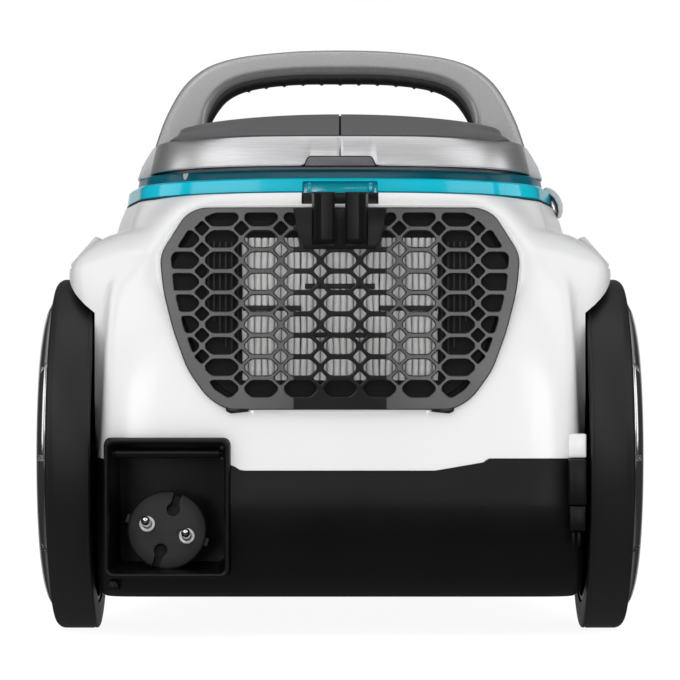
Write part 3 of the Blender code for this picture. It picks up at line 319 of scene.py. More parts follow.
LOOKS = {
    "white_gloss": dict(
        colour=(0.86, 0.86, 0.865), roughness=0.24, variation=0.008, rough_swing=0.012, grain=1500,
        bump=0.015, coat=0.25
    ),
    "black_satin": dict(
        colour=(0.0034, 0.0034, 0.0036), roughness=0.34, variation=0.12, grain=1800, bump=0.05,
        specular=0.26
    ),
    "tyre_rubber": dict(
        colour=(0.0085, 0.0085, 0.0087), roughness=0.46, variation=0.08, grain=1400, bump=0.1, specular=0.36
    ),
    "grey_metallic": dict(
        colour=(0.4, 0.4, 0.405), roughness=0.42, metallic=0.55, variation=0.02, grain=2600, bump=0.03,
        flake=0.35
    ),
    "dark_grey": dict(
        colour=(0.125, 0.125, 0.13), roughness=0.36, metallic=0.3, variation=0.03, grain=2200, bump=0.03,
        flake=0.2
    ),
    "silver_band": dict(
        colour=(0.6, 0.6, 0.61), roughness=0.36, metallic=0.85, variation=0.03, grain=1600, bump=0.08,
        stretch=(0.05, 0.05, 2.2), flake=0.12
    ),
    "teal_clear": dict(
        colour=(0.0, 0.42, 0.55), roughness=0.1, variation=0.05, grain=600, bump=0.01, transmission=0.55,
        coat=0.3
    ),
    "pleat_grey": dict(
        colour=(0.8, 0.8, 0.79), roughness=0.8, variation=0.12, grain=1200, bump=0.35, specular=0.2
    ),
    "soft_black": dict(
        colour=(0.02, 0.02, 0.0205), roughness=0.55, variation=0.1, grain=1500, bump=0.12, specular=0.4
    ),
    "chrome": dict(
        colour=(0.78, 0.78, 0.79), roughness=0.14, metallic=1.0, variation=0.02, grain=900, bump=0.01,
        rough_swing=0.04
    ),
    "steel": dict(
        colour=(0.46, 0.46, 0.47), roughness=0.34, metallic=1.0, grain=1500, bump=0.08, stretch=(1, 1, 0.05)
    ),
    "motor_grey": dict(
        colour=(0.2, 0.2, 0.21), roughness=0.5, metallic=0.4, variation=0.1, grain=700, bump=0.25
    ),
    "light_grey": dict(
        colour=(0.6, 0.6, 0.605), roughness=0.32, variation=0.02, grain=1500, bump=0.03, coat=0.15
    ),
    "board_green": dict(colour=(0.01, 0.12, 0.05), roughness=0.45, variation=0.2, grain=500, bump=0.1),
    "foam_grey": dict(
        colour=(0.13, 0.13, 0.14), roughness=0.95, variation=0.3, grain=1100, bump=0.9, specular=0.1
    ),
    "grille_black": dict(
        colour=(0.01, 0.01, 0.0104), roughness=0.18, variation=0.08, grain=2000, bump=0.03,
        rough_swing=0.02, specular=0.55
    ),
    "post_gloss": dict(
        colour=(0.004, 0.004, 0.0042), roughness=0.3, variation=0.08, grain=1500, bump=0.03, specular=0.24
    ),
    # A lighter copy of the bin's teal for its lip: painted light
    "teal_painted_light": dict(
        colour=(0.0, 0.66, 0.86), roughness=0.14, variation=0.04, grain=600, bump=0.01, transmission=0.15,
        coat=0.5
    ),
    # A darker copy of the bin's teal for the neck under the lid's band: painted shade
    "teal_painted_shade": dict(
        colour=(0.0, 0.15, 0.21), roughness=0.22, variation=0.1, grain=600, bump=0.02, transmission=0.2,
        specular=0.22
    ),
    "plug_black": dict(
        colour=(0.024, 0.024, 0.025), roughness=0.52, variation=0.14, grain=1300, bump=0.16, specular=0.4
    ),
    "seam_black": dict(colour=(0.004, 0.004, 0.004), roughness=0.6, variation=0.1, grain=900, bump=0.05),
    # Painted shade: a near-black, darker than the parts' own soft black, for what lies deep in the vent
    # behind the grille
    "painted_shade_black": dict(
        colour=(0.003, 0.003, 0.003), roughness=0.5, variation=0.1, grain=1500, bump=0.05, specular=0.25
    ),
}
FINISHES = {name: surface_material(name, **look) for name, look in LOOKS.items()}


# ---------------------------------------------------------------- building

def link(name, mesh):
    item = bpy.data.objects.new(name, mesh)
    bpy.context.scene.collection.objects.link(item)
    return item


def raw(name, verts, faces):
    mesh = bpy.data.meshes.new(name)
    mesh.from_pydata([tuple(v) for v in verts], [], faces)
    bm = bmesh.new()
    bm.from_mesh(mesh)
    bmesh.ops.recalc_face_normals(bm, faces=bm.faces)
    bm.to_mesh(mesh)
    bm.free()
    return link(name, mesh)


def grid_faces(rows, columns, wrap_rows=False, wrap_columns=True):
    faces = []
    for r in range(rows if wrap_rows else rows - 1):
        for c in range(columns if wrap_columns else columns - 1):
            d = (c + 1) % columns
            s = (r + 1) % rows
            faces.append((r * columns + c, r * columns + d, s * columns + d, s * columns + c))
    return faces


def skin(name, rings, caps=True, closed=False):
    """A surface through rings of equally many points, with a cap at each end or joined end to end."""
    count = len(rings[0])
    faces = grid_faces(len(rings), count, wrap_rows=closed)
    if caps and not closed:
        faces.append(tuple(range(count - 1, -1, -1)))
        faces.append(tuple((len(rings) - 1) * count + i for i in range(count)))
    return raw(name, [point for ring in rings for point in ring], faces)


def box(name, low, high):
    (x0, y0, z0), (x1, y1, z1) = low, high
    return skin(name, [[(x0, y0, z), (x1, y0, z), (x1, y1, z), (x0, y1, z)] for z in (z0, z1)])


def side_box(name, side, low, high):
    """A box given for the right, mirrored for the left."""
    low_x, high_x = sorted((side * low[0], side * high[0]))
    return box(name, (low_x, *low[1:]), (high_x, *high[1:]))


def prism_y(name, profile, rear, front):
    return skin(name, [[(x, y, z) for x, z in profile] for y in (rear, front)])


def prism_x(name, profile, low, high):
    return skin(name, [[(x, y, z) for y, z in profile] for x in (low, high)])


def along(direction):
    return Vector(direction).to_track_quat("Z", "Y").to_matrix().to_4x4()


def turned(name, profile, centre, direction, steps=96, closed=False):
    """A profile of (radius, height) turned about a direction."""
    matrix = Matrix.Translation(centre) @ along(direction)
    rings = []
    for radius, height in profile:
        rings.append([matrix @ Vector((radius * c, radius * s, height)) for c, s in directions(steps)])
    return skin(name, rings, caps=not closed, closed=closed)


def rod(name, start, end, radius, steps=32):
    start, end = Vector(start), Vector(end)
    length = (end - start).length
    return turned(name, [(radius, 0.0), (radius, length)], start, end - start, steps)


def axle_rod(name, side, start, end, radius, steps=32):
    """A rod on the wheels' axle, between two distances from the middle."""
    ends = [(side * x, WHEEL_Y, WHEEL_RADIUS) for x in (start, end)]
    return rod(name, *ends, radius, steps)


def bevel(item, width, segments=3, angle=35):
    rounding = item.modifiers.new("rounding", "BEVEL")
    rounding.width = width
    rounding.segments = segments
    rounding.limit_method = "ANGLE"
    rounding.angle_limit = math.radians(angle)
    return item


def bevel_now(item, width):
    bevel(item, width)
    bake(item)
    return item


def boolean(item, operation, *tools):
    """Cuts with the tools or joins them, and removes them."""
    for tool in tools:
        modifier = item.modifiers.new(tool.name, "BOOLEAN")
        modifier.operation = operation
        modifier.object = tool
        modifier.solver = "EXACT"
    bake(item)
    for tool in tools:
        bpy.data.objects.remove(tool, do_unlink=True)
    return item


def evaluated_mesh(item):
    bpy.context.view_layer.update()
    graph = bpy.context.evaluated_depsgraph_get()
    return bpy.data.meshes.new_from_object(item.evaluated_get(graph))


def bake(item):
    """Puts the modifiers' result in place of the mesh."""
    mesh = evaluated_mesh(item)
    item.modifiers.clear()
    item.data = mesh


def smooth(item, angle=32):
    if item.modifiers:
        bake(item)
    item.data.shade_smooth()
    item.data.set_sharp_from_angle(angle=math.radians(angle))


def finish(item, body, slot, *nodes, look=None, angle=32):
    """Smooths a piece, gives it its look and body, and hides the frame's nodes it stands for."""
    smooth(item, angle)
    item.data.materials.clear()
    item.data.materials.append(FINISHES[look or slot])
    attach(item, body)
    if nodes:
        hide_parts(*nodes)
    return item


def flat_curve(name, outlines, rear, front, rounding):
    """An upright plate of (x, z) outlines, the first its border and the others holes, with rounded edges."""
    curve = bpy.data.curves.new(name, "CURVE")
    curve.dimensions = "2D"
    curve.fill_mode = "BOTH"
    curve.extrude = (front - rear) / 2 - rounding
    curve.bevel_depth = rounding
    curve.bevel_resolution = 2
    curve.offset = -rounding
    for points in outlines:
        spline = curve.splines.new("POLY")
        spline.points.add(len(points) - 1)
        for point, (x, z) in zip(spline.points, points):
            point.co = (x, z, 0.0, 1.0)
        spline.use_cyclic_u = True
    item = link(name, curve)
    item.matrix_world = Matrix.Translation(
        (0, (rear + front) / 2, 0)
    ) @ Matrix.Rotation(math.pi / 2, 4, "X")
    mesh = evaluated_mesh(item)
    mesh.transform(item.matrix_world)
    bpy.data.objects.remove(item, do_unlink=True)
    return link(name, mesh)


def fillet(points, radius, steps=4):
    """A closed outline with each corner rounded."""
    rounded = []
    count = len(points)
    for i in range(count):
        before, here, after = (Vector(points[(i + k) % count]) for k in (-1, 0, 1))
        to_before, to_after = (before - here), (after - here)
        cut = min(radius, to_before.length * 0.45, to_after.length * 0.45)
        start, end = here + to_before.normalized() * cut, here + to_after.normalized() * cut
        for step in range(steps + 1):
            t = step / steps
            rounded.append(tuple(start * (1 - t) ** 2 + here * 2 * t * (1 - t) + end * t**2))
    return rounded


def grille_border(grow=0.0):
    """The grille's whole outline, grown or shrunk, up its right side and down its left."""
    right = [(x + grow, z + grow if z > GRILLE_MIDDLE_Z else z - grow) for x, z in GRILLE_CORNERS]
    return right + [(-x, z) for x, z in reversed(right)]


def outside_border(x, z):
    """How far a point lies outside the grille's outline."""
    border = grille_border()
    inside, nearest = True, 1.0
    for (x0, z0), (x1, z1) in zip(border, border[1:] + border[:1]):
        ex, ez = x1 - x0, z1 - z0
        length = math.hypot(ex, ez)
        if (ex * (z - z0) - ez * (x - x0)) < 0:
            inside = False
        t = min(1.0, max(0.0, ((x - x0) * ex + (z - z0) * ez) / (length * length)))
        nearest = min(nearest, math.hypot(x - x0 - t * ex, z - z0 - t * ez))
    return -nearest if inside else nearest


# ---------------------------------------------------------------- housing and base

# How much of their reach the fenders have at each height
FENDER_SHARE = (
    (0.082, 0.0), (0.115, 1.0), (0.166, 1.0), (0.1696, 0.97), (0.184, 0.3), (0.1858, 0.08), (0.1872, 0.0)
)
# The same reach at every step along the body
REACH = [interpolate(FENDER_REACH, FENDER_START + FENDER_STEP * k)[0] for k in range(381)]


def fender_x(y):
    """How far out the fenders reach, from the finer table."""
    place = min(max((y - FENDER_START) / FENDER_STEP, 0.0), len(REACH) - 1.001)
    k = int(place)
    return REACH[k] + (REACH[k + 1] - REACH[k]) * (place - k)


def step_height(x):
    """How far the base rises into the housing at the rear.

    A slope and a last short rise at the right, half of the rise beside the bay,
    and all of it at the left corner.
    """
    right = min(1.0, max(0.0, (x - 0.043) / 0.023)) * 0.72 + smoothstep(0.0662, 0.0672, x) * 0.28
    left = smoothstep(0.1045, 0.106, -x)
    beside_bay = 0.5 * smoothstep(0.044, 0.0498, -x)
    return STEP_RISE * max(right, left, beside_bay)


def shell_ring(table, z, inset, crease, fenders, lift=0.0):
    """One level of the body: its outline, carried out to the fenders and flattened behind the grille."""
    ring = []
    share = interpolate(FENDER_SHARE, z)[0] if fenders else 0.0
    for step, (x, y) in enumerate(plan(interpolate(table, z), inset, RING_POINTS, crease)):
        side = abs(x)
        sideways = abs(math.cos(2 * math.pi * step / RING_POINTS))
        if share > 0 and y < 0.02:
            more = fender_x(y) - inset - side
            side += share * smoothstep(0.64, 0.76, sideways) * smooth_max(more, 0.0, 0.003)
        behind = smoothstep(-0.145, -0.17, y)
        y_out = y
        if fenders and behind > 0 and inset < SHELL:
            near = (1 - smoothstep(0.003, 0.019, outside_border(x, z))) * behind
            seat_y = SEAT_Y + GRILLE_TILT * max(0.0, abs(x) - GRILLE_FLAT)
            y_out -= max(0.0, y - seat_y) * near
        ring.append((math.copysign(side, x), y_out, z + lift * step_height(x) * behind))
    return ring


def crease_at(z):
    """Where the crease over the rear corners starts and ends sideways, and its depth."""
    start = interpolate(HOUSING_CREASE, z)[0]
    return (start, start + 0.005, 0.034)


def bay_room():
    low, high = (BAY_LOW.x - SEAM, BAY_LOW.z - SEAM), (BAY_HIGH.x + SEAM, BAY_HIGH.z + SEAM)
    return prism_y("bay_room", rounded_rectangle(low, high, 0.0034), -0.21, BAY_HIGH.y + SEAM)


def build_housing():
    heights = [HOUSING_FOOT + 0.0065 * k for k in range(14)] + [
        0.1635, 0.1655, 0.1675, 0.169, 0.1705, 0.1722, 0.174, 0.176, 0.178, 0.18
    ]
    heights += [
        0.1816, 0.183, 0.1842, 0.1852, 0.1861, 0.187, 0.188, 0.1892, 0.1906, 0.1922, 0.194, 0.1958, 0.1975,
        0.199, 0.2002, 0.2011, 0.2018, 0.2022
    ]
    outside = [(z, 0.0008 * smoothstep(0.2012, HOUSING_TOP, z)) for z in heights]
    inside = [(z, SHELL) for z in reversed(heights)]
    rings = []
    for z, inset in outside + inside:
        lift = 1.0 - smoothstep(HOUSING_FOOT, STEP_FADE_HIGH, z)
        rings.append(shell_ring(HOUSING, z, inset, crease_at(z), True, lift))
    housing = skin("housing_shell", rings, closed=True)
    cutters = []
    for side in (1, -1):
        cutters.append(axle_rod(f"well_{side}", side, WELL_INNER_X, 0.15, WELL_RADIUS, 128))
        cutters.append(axle_rod(f"axle_room_{side}", side, 0.095, 0.116, 0.0075))
        cutters.append(pedal_slab(f"pedal_room_{side}", side, 0.0073, -0.006, -0.0006, 0.0009))
    cutters.append(prism_y("vent", fillet(grille_border(-0.0022), 0.005), -0.2, -0.15))
    cutters.append(box("post_notch", (-0.0174, -0.2, 0.193), (0.0174, -0.164, 0.21)))
    cutters.append(
        rod("nose_room", SOCKET_POINT - SOCKET_AXIS * 0.06, SOCKET_POINT + SOCKET_AXIS * 0.04, 0.0231, 64)
    )
    cutters.append(bay_room())
    boolean(housing, "DIFFERENCE", *cutters)
    droop(housing)
    finish(housing, "canister", "white_gloss", "upper_housing", angle=38)

    seat = flat_curve(
        "grille_seat", [fillet(grille_border(0.0016), 0.006), fillet(grille_border(-0.0022), 0.005)],
        -0.1864, -0.17, 0.0006
    )
    finish(bend(seat), "canister", "white_gloss")
    # A black sheet round the inside of the vent, where there is only shade behind the grille: painted shade
    shade_sheet = flat_curve(
        "vent_shade_sheet", [fillet(grille_border(-0.0024), 0.005), fillet(grille_border(-0.006), 0.004)],
        -0.1845, -0.16, 0.0003
    )
    finish(bend(shade_sheet), "canister", "soft_black", look="painted_shade_black")
    block = bevel(box("post_recess", (-0.0171, -0.1852, 0.1932), (0.0171, -0.165, 0.2018)), 0.0006)
    finish(block, "canister", "black_satin", look="post_gloss")
    keeper = bevel(box("clip_keeper", (0.1032, -0.1888, 0.0823), (0.1112, -0.176, 0.0932)), 0.0008)
    finish(keeper, "canister", "white_gloss")
    seam_row = interpolate(HOUSING, 0.202)
    seam_rings = [
        [(x, y, z) for x, y in plan(seam_row, inset, 240, crease_at(0.2022))]
        for z, inset in ((0.2014, 0.0006), (0.2027, 0.0006), (0.2027, 0.006), (0.2014, 0.006))
    ]
    finish(droop(skin("bin_seam", seam_rings, closed=True)), "canister", "black_satin", look="seam_black")


def build_base():
    heights = [
        0.018, 0.0184, 0.019, 0.0198, 0.0208, 0.0222, 0.024
    ] + [0.0265 + 0.003 * k for k in range(16)] + [0.074, 0.0758, 0.0762]
    outside = [(z, 0.0) for z in heights]
    inside = [(z, SHELL) for z in (BASE_TOP, 0.05, 0.024)]
    rings = []
    for z, inset in outside + inside:
        lift = smoothstep(STEP_FADE_LOW, BASE_TOP, z)
        rings.append(shell_ring(BASE, z, inset, None, False, lift))
    base = skin("base_shell", rings)
    caster_well = rod("caster_well", (0, CASTER_Y, 0.0), (0, CASTER_Y, 0.0425), 0.031, 64)
    boolean(base, "DIFFERENCE", bay_room(), caster_well)
    finish(base, "canister", "black_satin", "base_pan", angle=38)
    cup = turned(
        "caster_cup",
        [
            (0.0338, 0.019), (0.0338, 0.0455), (0.0053, 0.0455), (0.0053, 0.0428), (0.0312, 0.0428),
            (0.0312, 0.019)
        ],
        (0, CASTER_Y, 0), (0, 0, 1), 64, closed=True
    )
    finish(cup, "canister", "black_satin")
    for side, word in SIDES:
        ear = bevel(
            side_box(f"axle_ear_{word}", side, (0.098, -0.122, 0.0215), (0.1084, -0.098, 0.098)), 0.002
        )
        boolean(ear, "DIFFERENCE", axle_rod(f"ear_room_{word}", side, 0.09, 0.12, 0.0063))
        finish(ear, "canister", "black_satin")
    # The clip at the right, between the base and the housing
    upper = bevel(box("clip_block", (0.103, -0.1916, 0.0612), (0.1112, -0.176, 0.0818)), 0.0009)
    finish(upper, "canister", "black_satin")
    lower = bevel(box("clip_foot", (0.1034, -0.1904, 0.0496), (0.1108, -0.174, 0.0609)), 0.0009)
    finish(lower, "canister", "black_satin")
    for number, x in enumerate((0.1054, 0.1078)):
        rib = turned(
            f"clip_rib_{number}",
            [
                (0.0001, 0.0), (0.0007, 0.0004), (0.0009, 0.0018), (0.0009, 0.0052), (0.0005, 0.0066),
                (0.0001, 0.007)
            ],
            (x, -0.1868, 0.0424), (0, 0, 1), 20
        )
        finish(rib, "canister", "black_satin")
    notch = prism_y(
        "base_foot_left", [(-0.106, 0.0218), (-0.1, 0.0218), (-0.1015, 0.0262), (-0.1045, 0.0262)], -0.176,
        -0.165
    )
    finish(bevel(notch, 0.0006), "canister", "black_satin")


# ---------------------------------------------------------------- plug bay

def rounded_rectangle(low, high, radius, steps=8):
    """The outline of a rectangle in x and z with round corners."""
    (x0, z0), (x1, z1) = low, high
    points = []
    for cx, cz, start in (
        (x1 - radius, z1 - radius, 0), (x0 + radius, z1 - radius, 90), (x0 + radius, z0 + radius, 180),
        (x1 - radius, z0 + radius, 270)
    ):
        for step in range(steps + 1):
            angle = math.radians(start + 90 * step / steps)
            points.append((cx + radius * math.cos(angle), cz + radius * math.sin(angle)))
    return points


def build_bay():
    def ring(y, grow, radius):
        low, high = (BAY_LOW.x - grow, BAY_LOW.z - grow), (BAY_HIGH.x + grow, BAY_HIGH.z + grow)
        return [(x, y, z) for x, z in rounded_rectangle(low, high, radius)]

    rear, front = BAY_LOW.y, BAY_HIGH.y
    rings = [ring(front, -0.0004, 0.003), ring(rear + 0.0016, -0.0001, 0.0032)]
    for step in range(9):
        angle = math.pi * step / 8
        y = rear + 0.0011 - 0.0011 * math.sin(angle)
        rings.append(ring(y, -0.0012 + 0.0011 * math.cos(angle), 0.0032 - 0.0006 * step / 8))
    rings += [
        ring(rear + 0.005, -0.0025, 0.0026), ring(rear + 0.03, -0.0034, 0.003),
        ring(front - 0.003, -0.0042, 0.0034)
    ]
    bay = skin("bay_shell", rings)
    hole = rod("lead_room", (PLUG_FACE.x, -0.132, 0.044), (PLUG_FACE.x, -0.12, 0.044), 0.0072)
    boolean(bay, "DIFFERENCE", hole)
    finish(bay, "canister", "black_satin", "plug_bay", angle=50)
    bar = turned(
        "roller_bar",
        [
            (0.0004, -0.0252), (0.0012, -0.025), (0.0012, -0.024), (0.0022, -0.0236), (0.0024, 0.0),
            (0.0022, 0.0236), (0.0012, 0.024), (0.0012, 0.025), (0.0004, 0.0252)
        ],
        ((BAY_LOW.x + BAY_HIGH.x) / 2, -0.184, 0.0843), (1, 0, 0), 48,
    )
    finish(bar, "roller", "black_satin", "cord_roller")
    for number, z in enumerate((0.0868, 0.0818)):
        stud = turned(
            f"bay_stud_{number}", [(0.0001, 0.0), (0.0009, 0.0002), (0.0011, 0.001), (0.0011, 0.006)],
            (BAY_HIGH.x - 0.0035, -0.1905, z), (0, 1, 0), 20
        )
        finish(stud, "canister", "black_satin")


def build_plug():
    axis = Vector((0, -math.cos(PLUG_TILT), math.sin(PLUG_TILT)))
    sideways = Vector((math.cos(PLUG_ROLL), 0, -math.sin(PLUG_ROLL)))
    upward = axis.cross(sideways).normalized()
    sideways = upward.cross(axis).normalized()
    if upward.z < 0:
        upward = -upward
    radius = 0.0181
    profile = [
        (0.0048, -0.0335), (0.0056, -0.03), (0.007, -0.0265), (0.01, -0.0225), (0.014, -0.0165),
        (0.0166, -0.011), (0.0176, -0.007), (radius - 0.0002, -0.0045), (radius, -0.0012),
        (radius - 0.0003, -0.0004), (radius - 0.001, 0.0), (0.012, 0.0001), (0.004, 0.0001),
        (0.0003, 0.0001),
    ]
    plug = turned("plug_body", profile, PLUG_FACE, axis, 96)
    turn = Matrix((sideways, upward, axis)).transposed().to_4x4()
    cutters = []
    for sign in (1, -1):
        slot = PLUG_FACE + upward * sign * 0.0098
        cutters.append(rod(f"earth_hole_{sign}", slot - axis * 0.01, slot + axis * 0.002, 0.0031, 40))
        block = box(
            f"earth_slot_{sign}", (-0.0019, 0.0098 if sign > 0 else -0.023, -0.0095),
            (0.0019, 0.023 if sign > 0 else -0.0098, 0.002)
        )
        block.data.transform(Matrix.Translation(PLUG_FACE) @ turn)
        cutters.append(block)
        seat = PLUG_FACE + sideways * sign * PIN_SPACING / 2
        cutters.append(rod(f"pin_seat_{sign}", seat - axis * 0.003, seat + axis * 0.001, 0.0037, 40))
    boolean(plug, "DIFFERENCE", *cutters)
    bevel(plug, 0.0003, 2, 40)
    finish(plug, "plug", "soft_black", "mains_plug", look="plug_black", angle=40)
    for sign, word in ((1, "right"), (-1, "left")):
        seat = PLUG_FACE + sideways * sign * PIN_SPACING / 2
        collar = turned(
            f"pin_collar_{word}",
            [
                (0.0022, -0.003), (0.0036, -0.003), (0.0036, 0.0002), (0.0034, 0.0006), (0.0026, 0.0007),
                (0.0022, 0.0004)
            ],
            seat, axis, 48, closed=True,
        )
        finish(collar, "plug", "white_gloss", *(("pin_carrier",) if sign > 0 else ()))
        pin = turned(
            f"plug_pin_body_{word}",
            [
                (0.0019, -0.004), (0.002, 0.015), (0.002, 0.0168), (0.0017, 0.018), (0.0012, 0.0187),
                (0.0005, 0.01895), (0.0001, 0.019)
            ],
            seat, axis, 40,
        )
        finish(pin, "plug", "chrome", f"plug_pin_{word}", angle=60)
        tab_place = PLUG_FACE + sideways * sign * (radius + 0.0002) - axis * 0.0045
        tab = box(f"plug_tab_{word}", (-0.0014, -0.0021, -0.004), (0.0014, 0.0021, 0.003))
        tab.data.transform(Matrix.Translation(tab_place) @ turn)
        finish(bevel(tab, 0.0005), "plug", "soft_black", look="plug_black")


# ---------------------------------------------------------------- grille and filter

def clip(polygon, point, inward):
    """What is left of a polygon on one side of a line."""
    kept = []
    depths = [(x - point[0]) * inward[0] + (z - point[1]) * inward[1] for x, z in polygon]
    for index, (x, z) in enumerate(polygon):
        px, pz = polygon[index - 1]
        depth, previous = depths[index], depths[index - 1]
        if (depth > 0) != (previous > 0):
            share = previous / (previous - depth)
            kept.append((px + (x - px) * share, pz + (z - pz) * share))
        if depth > 0:
            kept.append((x, z))
    return kept


def tidy_corners(polygon, shortest):
    """A polygon with corners closer than a distance made one."""
    kept = []
    for point in polygon:
        if not kept or math.dist(kept[-1], point) > shortest:
            kept.append(point)
    if len(kept) > 1 and math.dist(kept[0], kept[-1]) <= shortest:
        kept.pop()
    return kept


def grille_holes():
    """The long holes and the small diamonds between them, cut off at the rim and beside the posts."""
    half_x, half_z, point, tip = 0.0072, 0.0036, 0.0029, 0.0009
    diamond = 0.0032
    top_rim, rim_elsewhere = 0.0028, 0.0052
    shortest_edge, smallest_area = 0.0004, 8e-6
    border = grille_border()
    holes = []
    for column in range(-5, 6):
        for row in range(-5, 6):
            x, z = column * HOLE_PITCH_X, HOLE_ROW_Z + row * HOLE_PITCH_Z
            long_hole = [
                (x - half_x, z - tip), (x - half_x + point, z - half_z), (x + half_x - point, z - half_z),
                (x + half_x, z - tip), (x + half_x, z + tip), (x + half_x - point, z + half_z),
                (x - half_x + point, z + half_z), (x - half_x, z + tip),
            ]
            dx, dz = x + HOLE_PITCH_X / 2, z + HOLE_PITCH_Z / 2
            small = [(dx - diamond, dz), (dx, dz - diamond), (dx + diamond, dz), (dx, dz + diamond)]
            for shape, radius in ((long_hole, 0.0013), (small, 0.0008)):
                for (x0, z0), (x1, z1) in zip(border, border[1:] + border[:1]):
                    if len(shape) < 3:
                        break
                    length = math.hypot(x1 - x0, z1 - z0)
                    inward = ((z0 - z1) / length, (x1 - x0) / length)
                    rim = top_rim if z0 == z1 and z0 > GRILLE_MIDDLE_Z else rim_elsewhere
                    shape = clip(shape, (x0 + inward[0] * rim, z0 + inward[1] * rim), inward)
                if len(shape) < 3:
                    continue
                middle = sum(p[0] for p in shape) / len(shape)
                if abs(middle) < 0.03 and min(p[1] for p in shape) > 0.174:
                    side = 1 if middle > 0 else -1
                    shape = clip(shape, (side * 0.0195, 0.185), (side * 0.985, -0.174))
                shape = tidy_corners(shape, shortest_edge)
                if len(shape) < 3:
                    continue
                area = abs(sum(a[0] * b[1] - b[0] * a[1] for a, b in zip(shape, shape[1:] + shape[:1]))) / 2
                if area > smallest_area:
                    holes.append(fillet(shape, radius, 3))
    return holes


def build_grille():
    grille = flat_curve(
        "grille_lattice", [fillet(grille_border(), 0.005, 6), *grille_holes()], GRILLE_REAR_Y,
        GRILLE_FRONT_Y, 0.0005
    )
    finish(bend(grille), "grille", "black_satin", "rear_grille", look="grille_black", angle=2.5)
    for side, word in SIDES:
        outline = ((0.0412, 0.105), (0.052, 0.1062), (0.0513, 0.1032), (0.0492, 0.1023), (0.0412, 0.1031))
        tab = prism_y(f"grille_tab_{word}", [(side * x, z) for x, z in outline], -0.1903, -0.1872)
        finish(bend(bevel_now(tab, 0.0003)), "grille", "black_satin", look="grille_black")
        key = bevel(
            side_box(f"grille_key_{word}", side, (0.0388, -0.19, 0.1024), (0.0402, -0.1878, 0.1038)), 0.0002
        )
        finish(key, "grille", "white_gloss")
    plate = bevel(
        prism_y(
            "parking_plate",
            [
                (-0.0162, 0.1764), (0.0162, 0.1764), (0.0166, 0.179), (0.018, 0.182), (0.0198, 0.1858),
                (0.0203, 0.1948), (-0.0203, 0.1948), (-0.0198, 0.1858), (-0.018, 0.182), (-0.0166, 0.179),
            ],
            -0.1909, GRILLE_REAR_Y - 0.0002,
        ),
        0.0001,
    )
    finish(plate, "grille", "black_satin", "parking_slot", look="post_gloss")
    for side, word in SIDES:
        outline = (
            (0.0023, -0.1915), (0.0023, -0.1986), (0.0025, -0.1993), (0.003, -0.1998), (0.0036, -0.2),
            (0.0082, -0.2), (0.0087, -0.1999), (0.011, -0.1991), (0.0116, -0.1986), (0.0125, -0.1962),
            (0.0127, -0.195), (0.0127, -0.1915),
        )
        rings = []
        for z, inset in (
            (0.178, 0.0035), (0.1784, 0.0019), (0.1792, 0.0008), (0.1804, 0.0001), (0.1812, 0.0),
            (0.2012, 0.0), (0.2018, 0.0004), (0.202, 0.0012)
        ):
            rings.append([(side * x, min(y + inset, -0.1915), z) for x, y in outline])
        post = skin(f"parking_post_{word}", rings)
        finish(post, "grille", "black_satin", look="post_gloss", angle=12)


# One fold of the paper: how far along it, and how deep
PLEAT = (
    (-0.46, 1.0), (-0.42, 0.42), (-0.34, 0.16), (-0.2, 0.03), (0.0, 0.0), (0.2, 0.03), (0.34, 0.16),
    (0.42, 0.42), (0.46, 1.0)
)


def build_filter():
    """Pleated paper behind the grille, held in a dark frame with side fins."""
    half, folds, rows = 0.0446, 30, 14
    foot, top = 0.1173, 0.1817
    step = 2 * half / folds
    fine = []
    for i in range(folds):
        middle = -half + step * (i + 0.5) + 0.00012 * math.sin(i * 12.9898)
        for share, depth in PLEAT:
            fine.append((middle + share * step, -0.1848 + 0.0034 * depth))
    rings = []
    for r in range(rows + 1):
        z = foot + (top - foot) * r / rows
        ring = []
        # Small waves, so that no two folds are quite alike
        for i, (x, y) in enumerate(fine):
            sway = 0.00016 * math.sin(r * 0.9 + i * 0.05) + 0.00008 * math.sin(r * 2.3 + (i // 9) * 1.9)
            ring.append((x + sway, y + 0.00015 * math.sin(r * 1.7 + (i // 9)), z))
        ring += [(half, -0.18, z), (-half, -0.18, z)]
        rings.append(ring)
    pleats = skin("pleated_paper", rings)
    finish(pleats, "canister", "pleat_grey", "filter_pleats", angle=50)
    frame_border = grille_border(-0.005)
    windows = [
        [(a, 0.1175), (b, 0.1175), (b, 0.1815), (a, 0.1815)]
        for a, b in ((-0.044, -0.0178), (-0.0158, 0.0158), (0.0178, 0.044))
    ]
    # The filter frame takes the near-black of painted shade, darker than its own soft black
    plate = flat_curve(
        "filter_surround", [fillet(frame_border, 0.003), *[fillet(w, 0.001) for w in windows]], -0.1838,
        -0.1806, 0.0004
    )
    finish(plate, "canister", "soft_black", "filter_frame", look="painted_shade_black")
    fins = [(side * (0.0462 + 0.0027 * k), 0.12 + 0.006 * k, 0.18) for side in (1, -1) for k in range(6)]
    for number, (x, z0, z1) in enumerate(fins):
        fin = bevel(
            box(f"filter_fin_{number}", (x - 0.0005, -0.1852, z0), (x + 0.0005, -0.1832, z1)), 0.0002
        )
        finish(fin, "canister", "soft_black")
    bars = (
        (-0.044, -0.0178, 0.1499), (0.0178, 0.044, 0.1499), (-0.0158, 0.0158, 0.1598),
        (-0.0158, 0.0158, 0.1377)
    )
    for number, (low, high, z) in enumerate(bars):
        bar = bevel(
            box(f"filter_bar_{number}", (low, -0.1852, z - 0.0012), (high, -0.1812, z + 0.0012)), 0.0004
        )
        finish(bar, "canister", "soft_black")


# ---------------------------------------------------------------- wheels

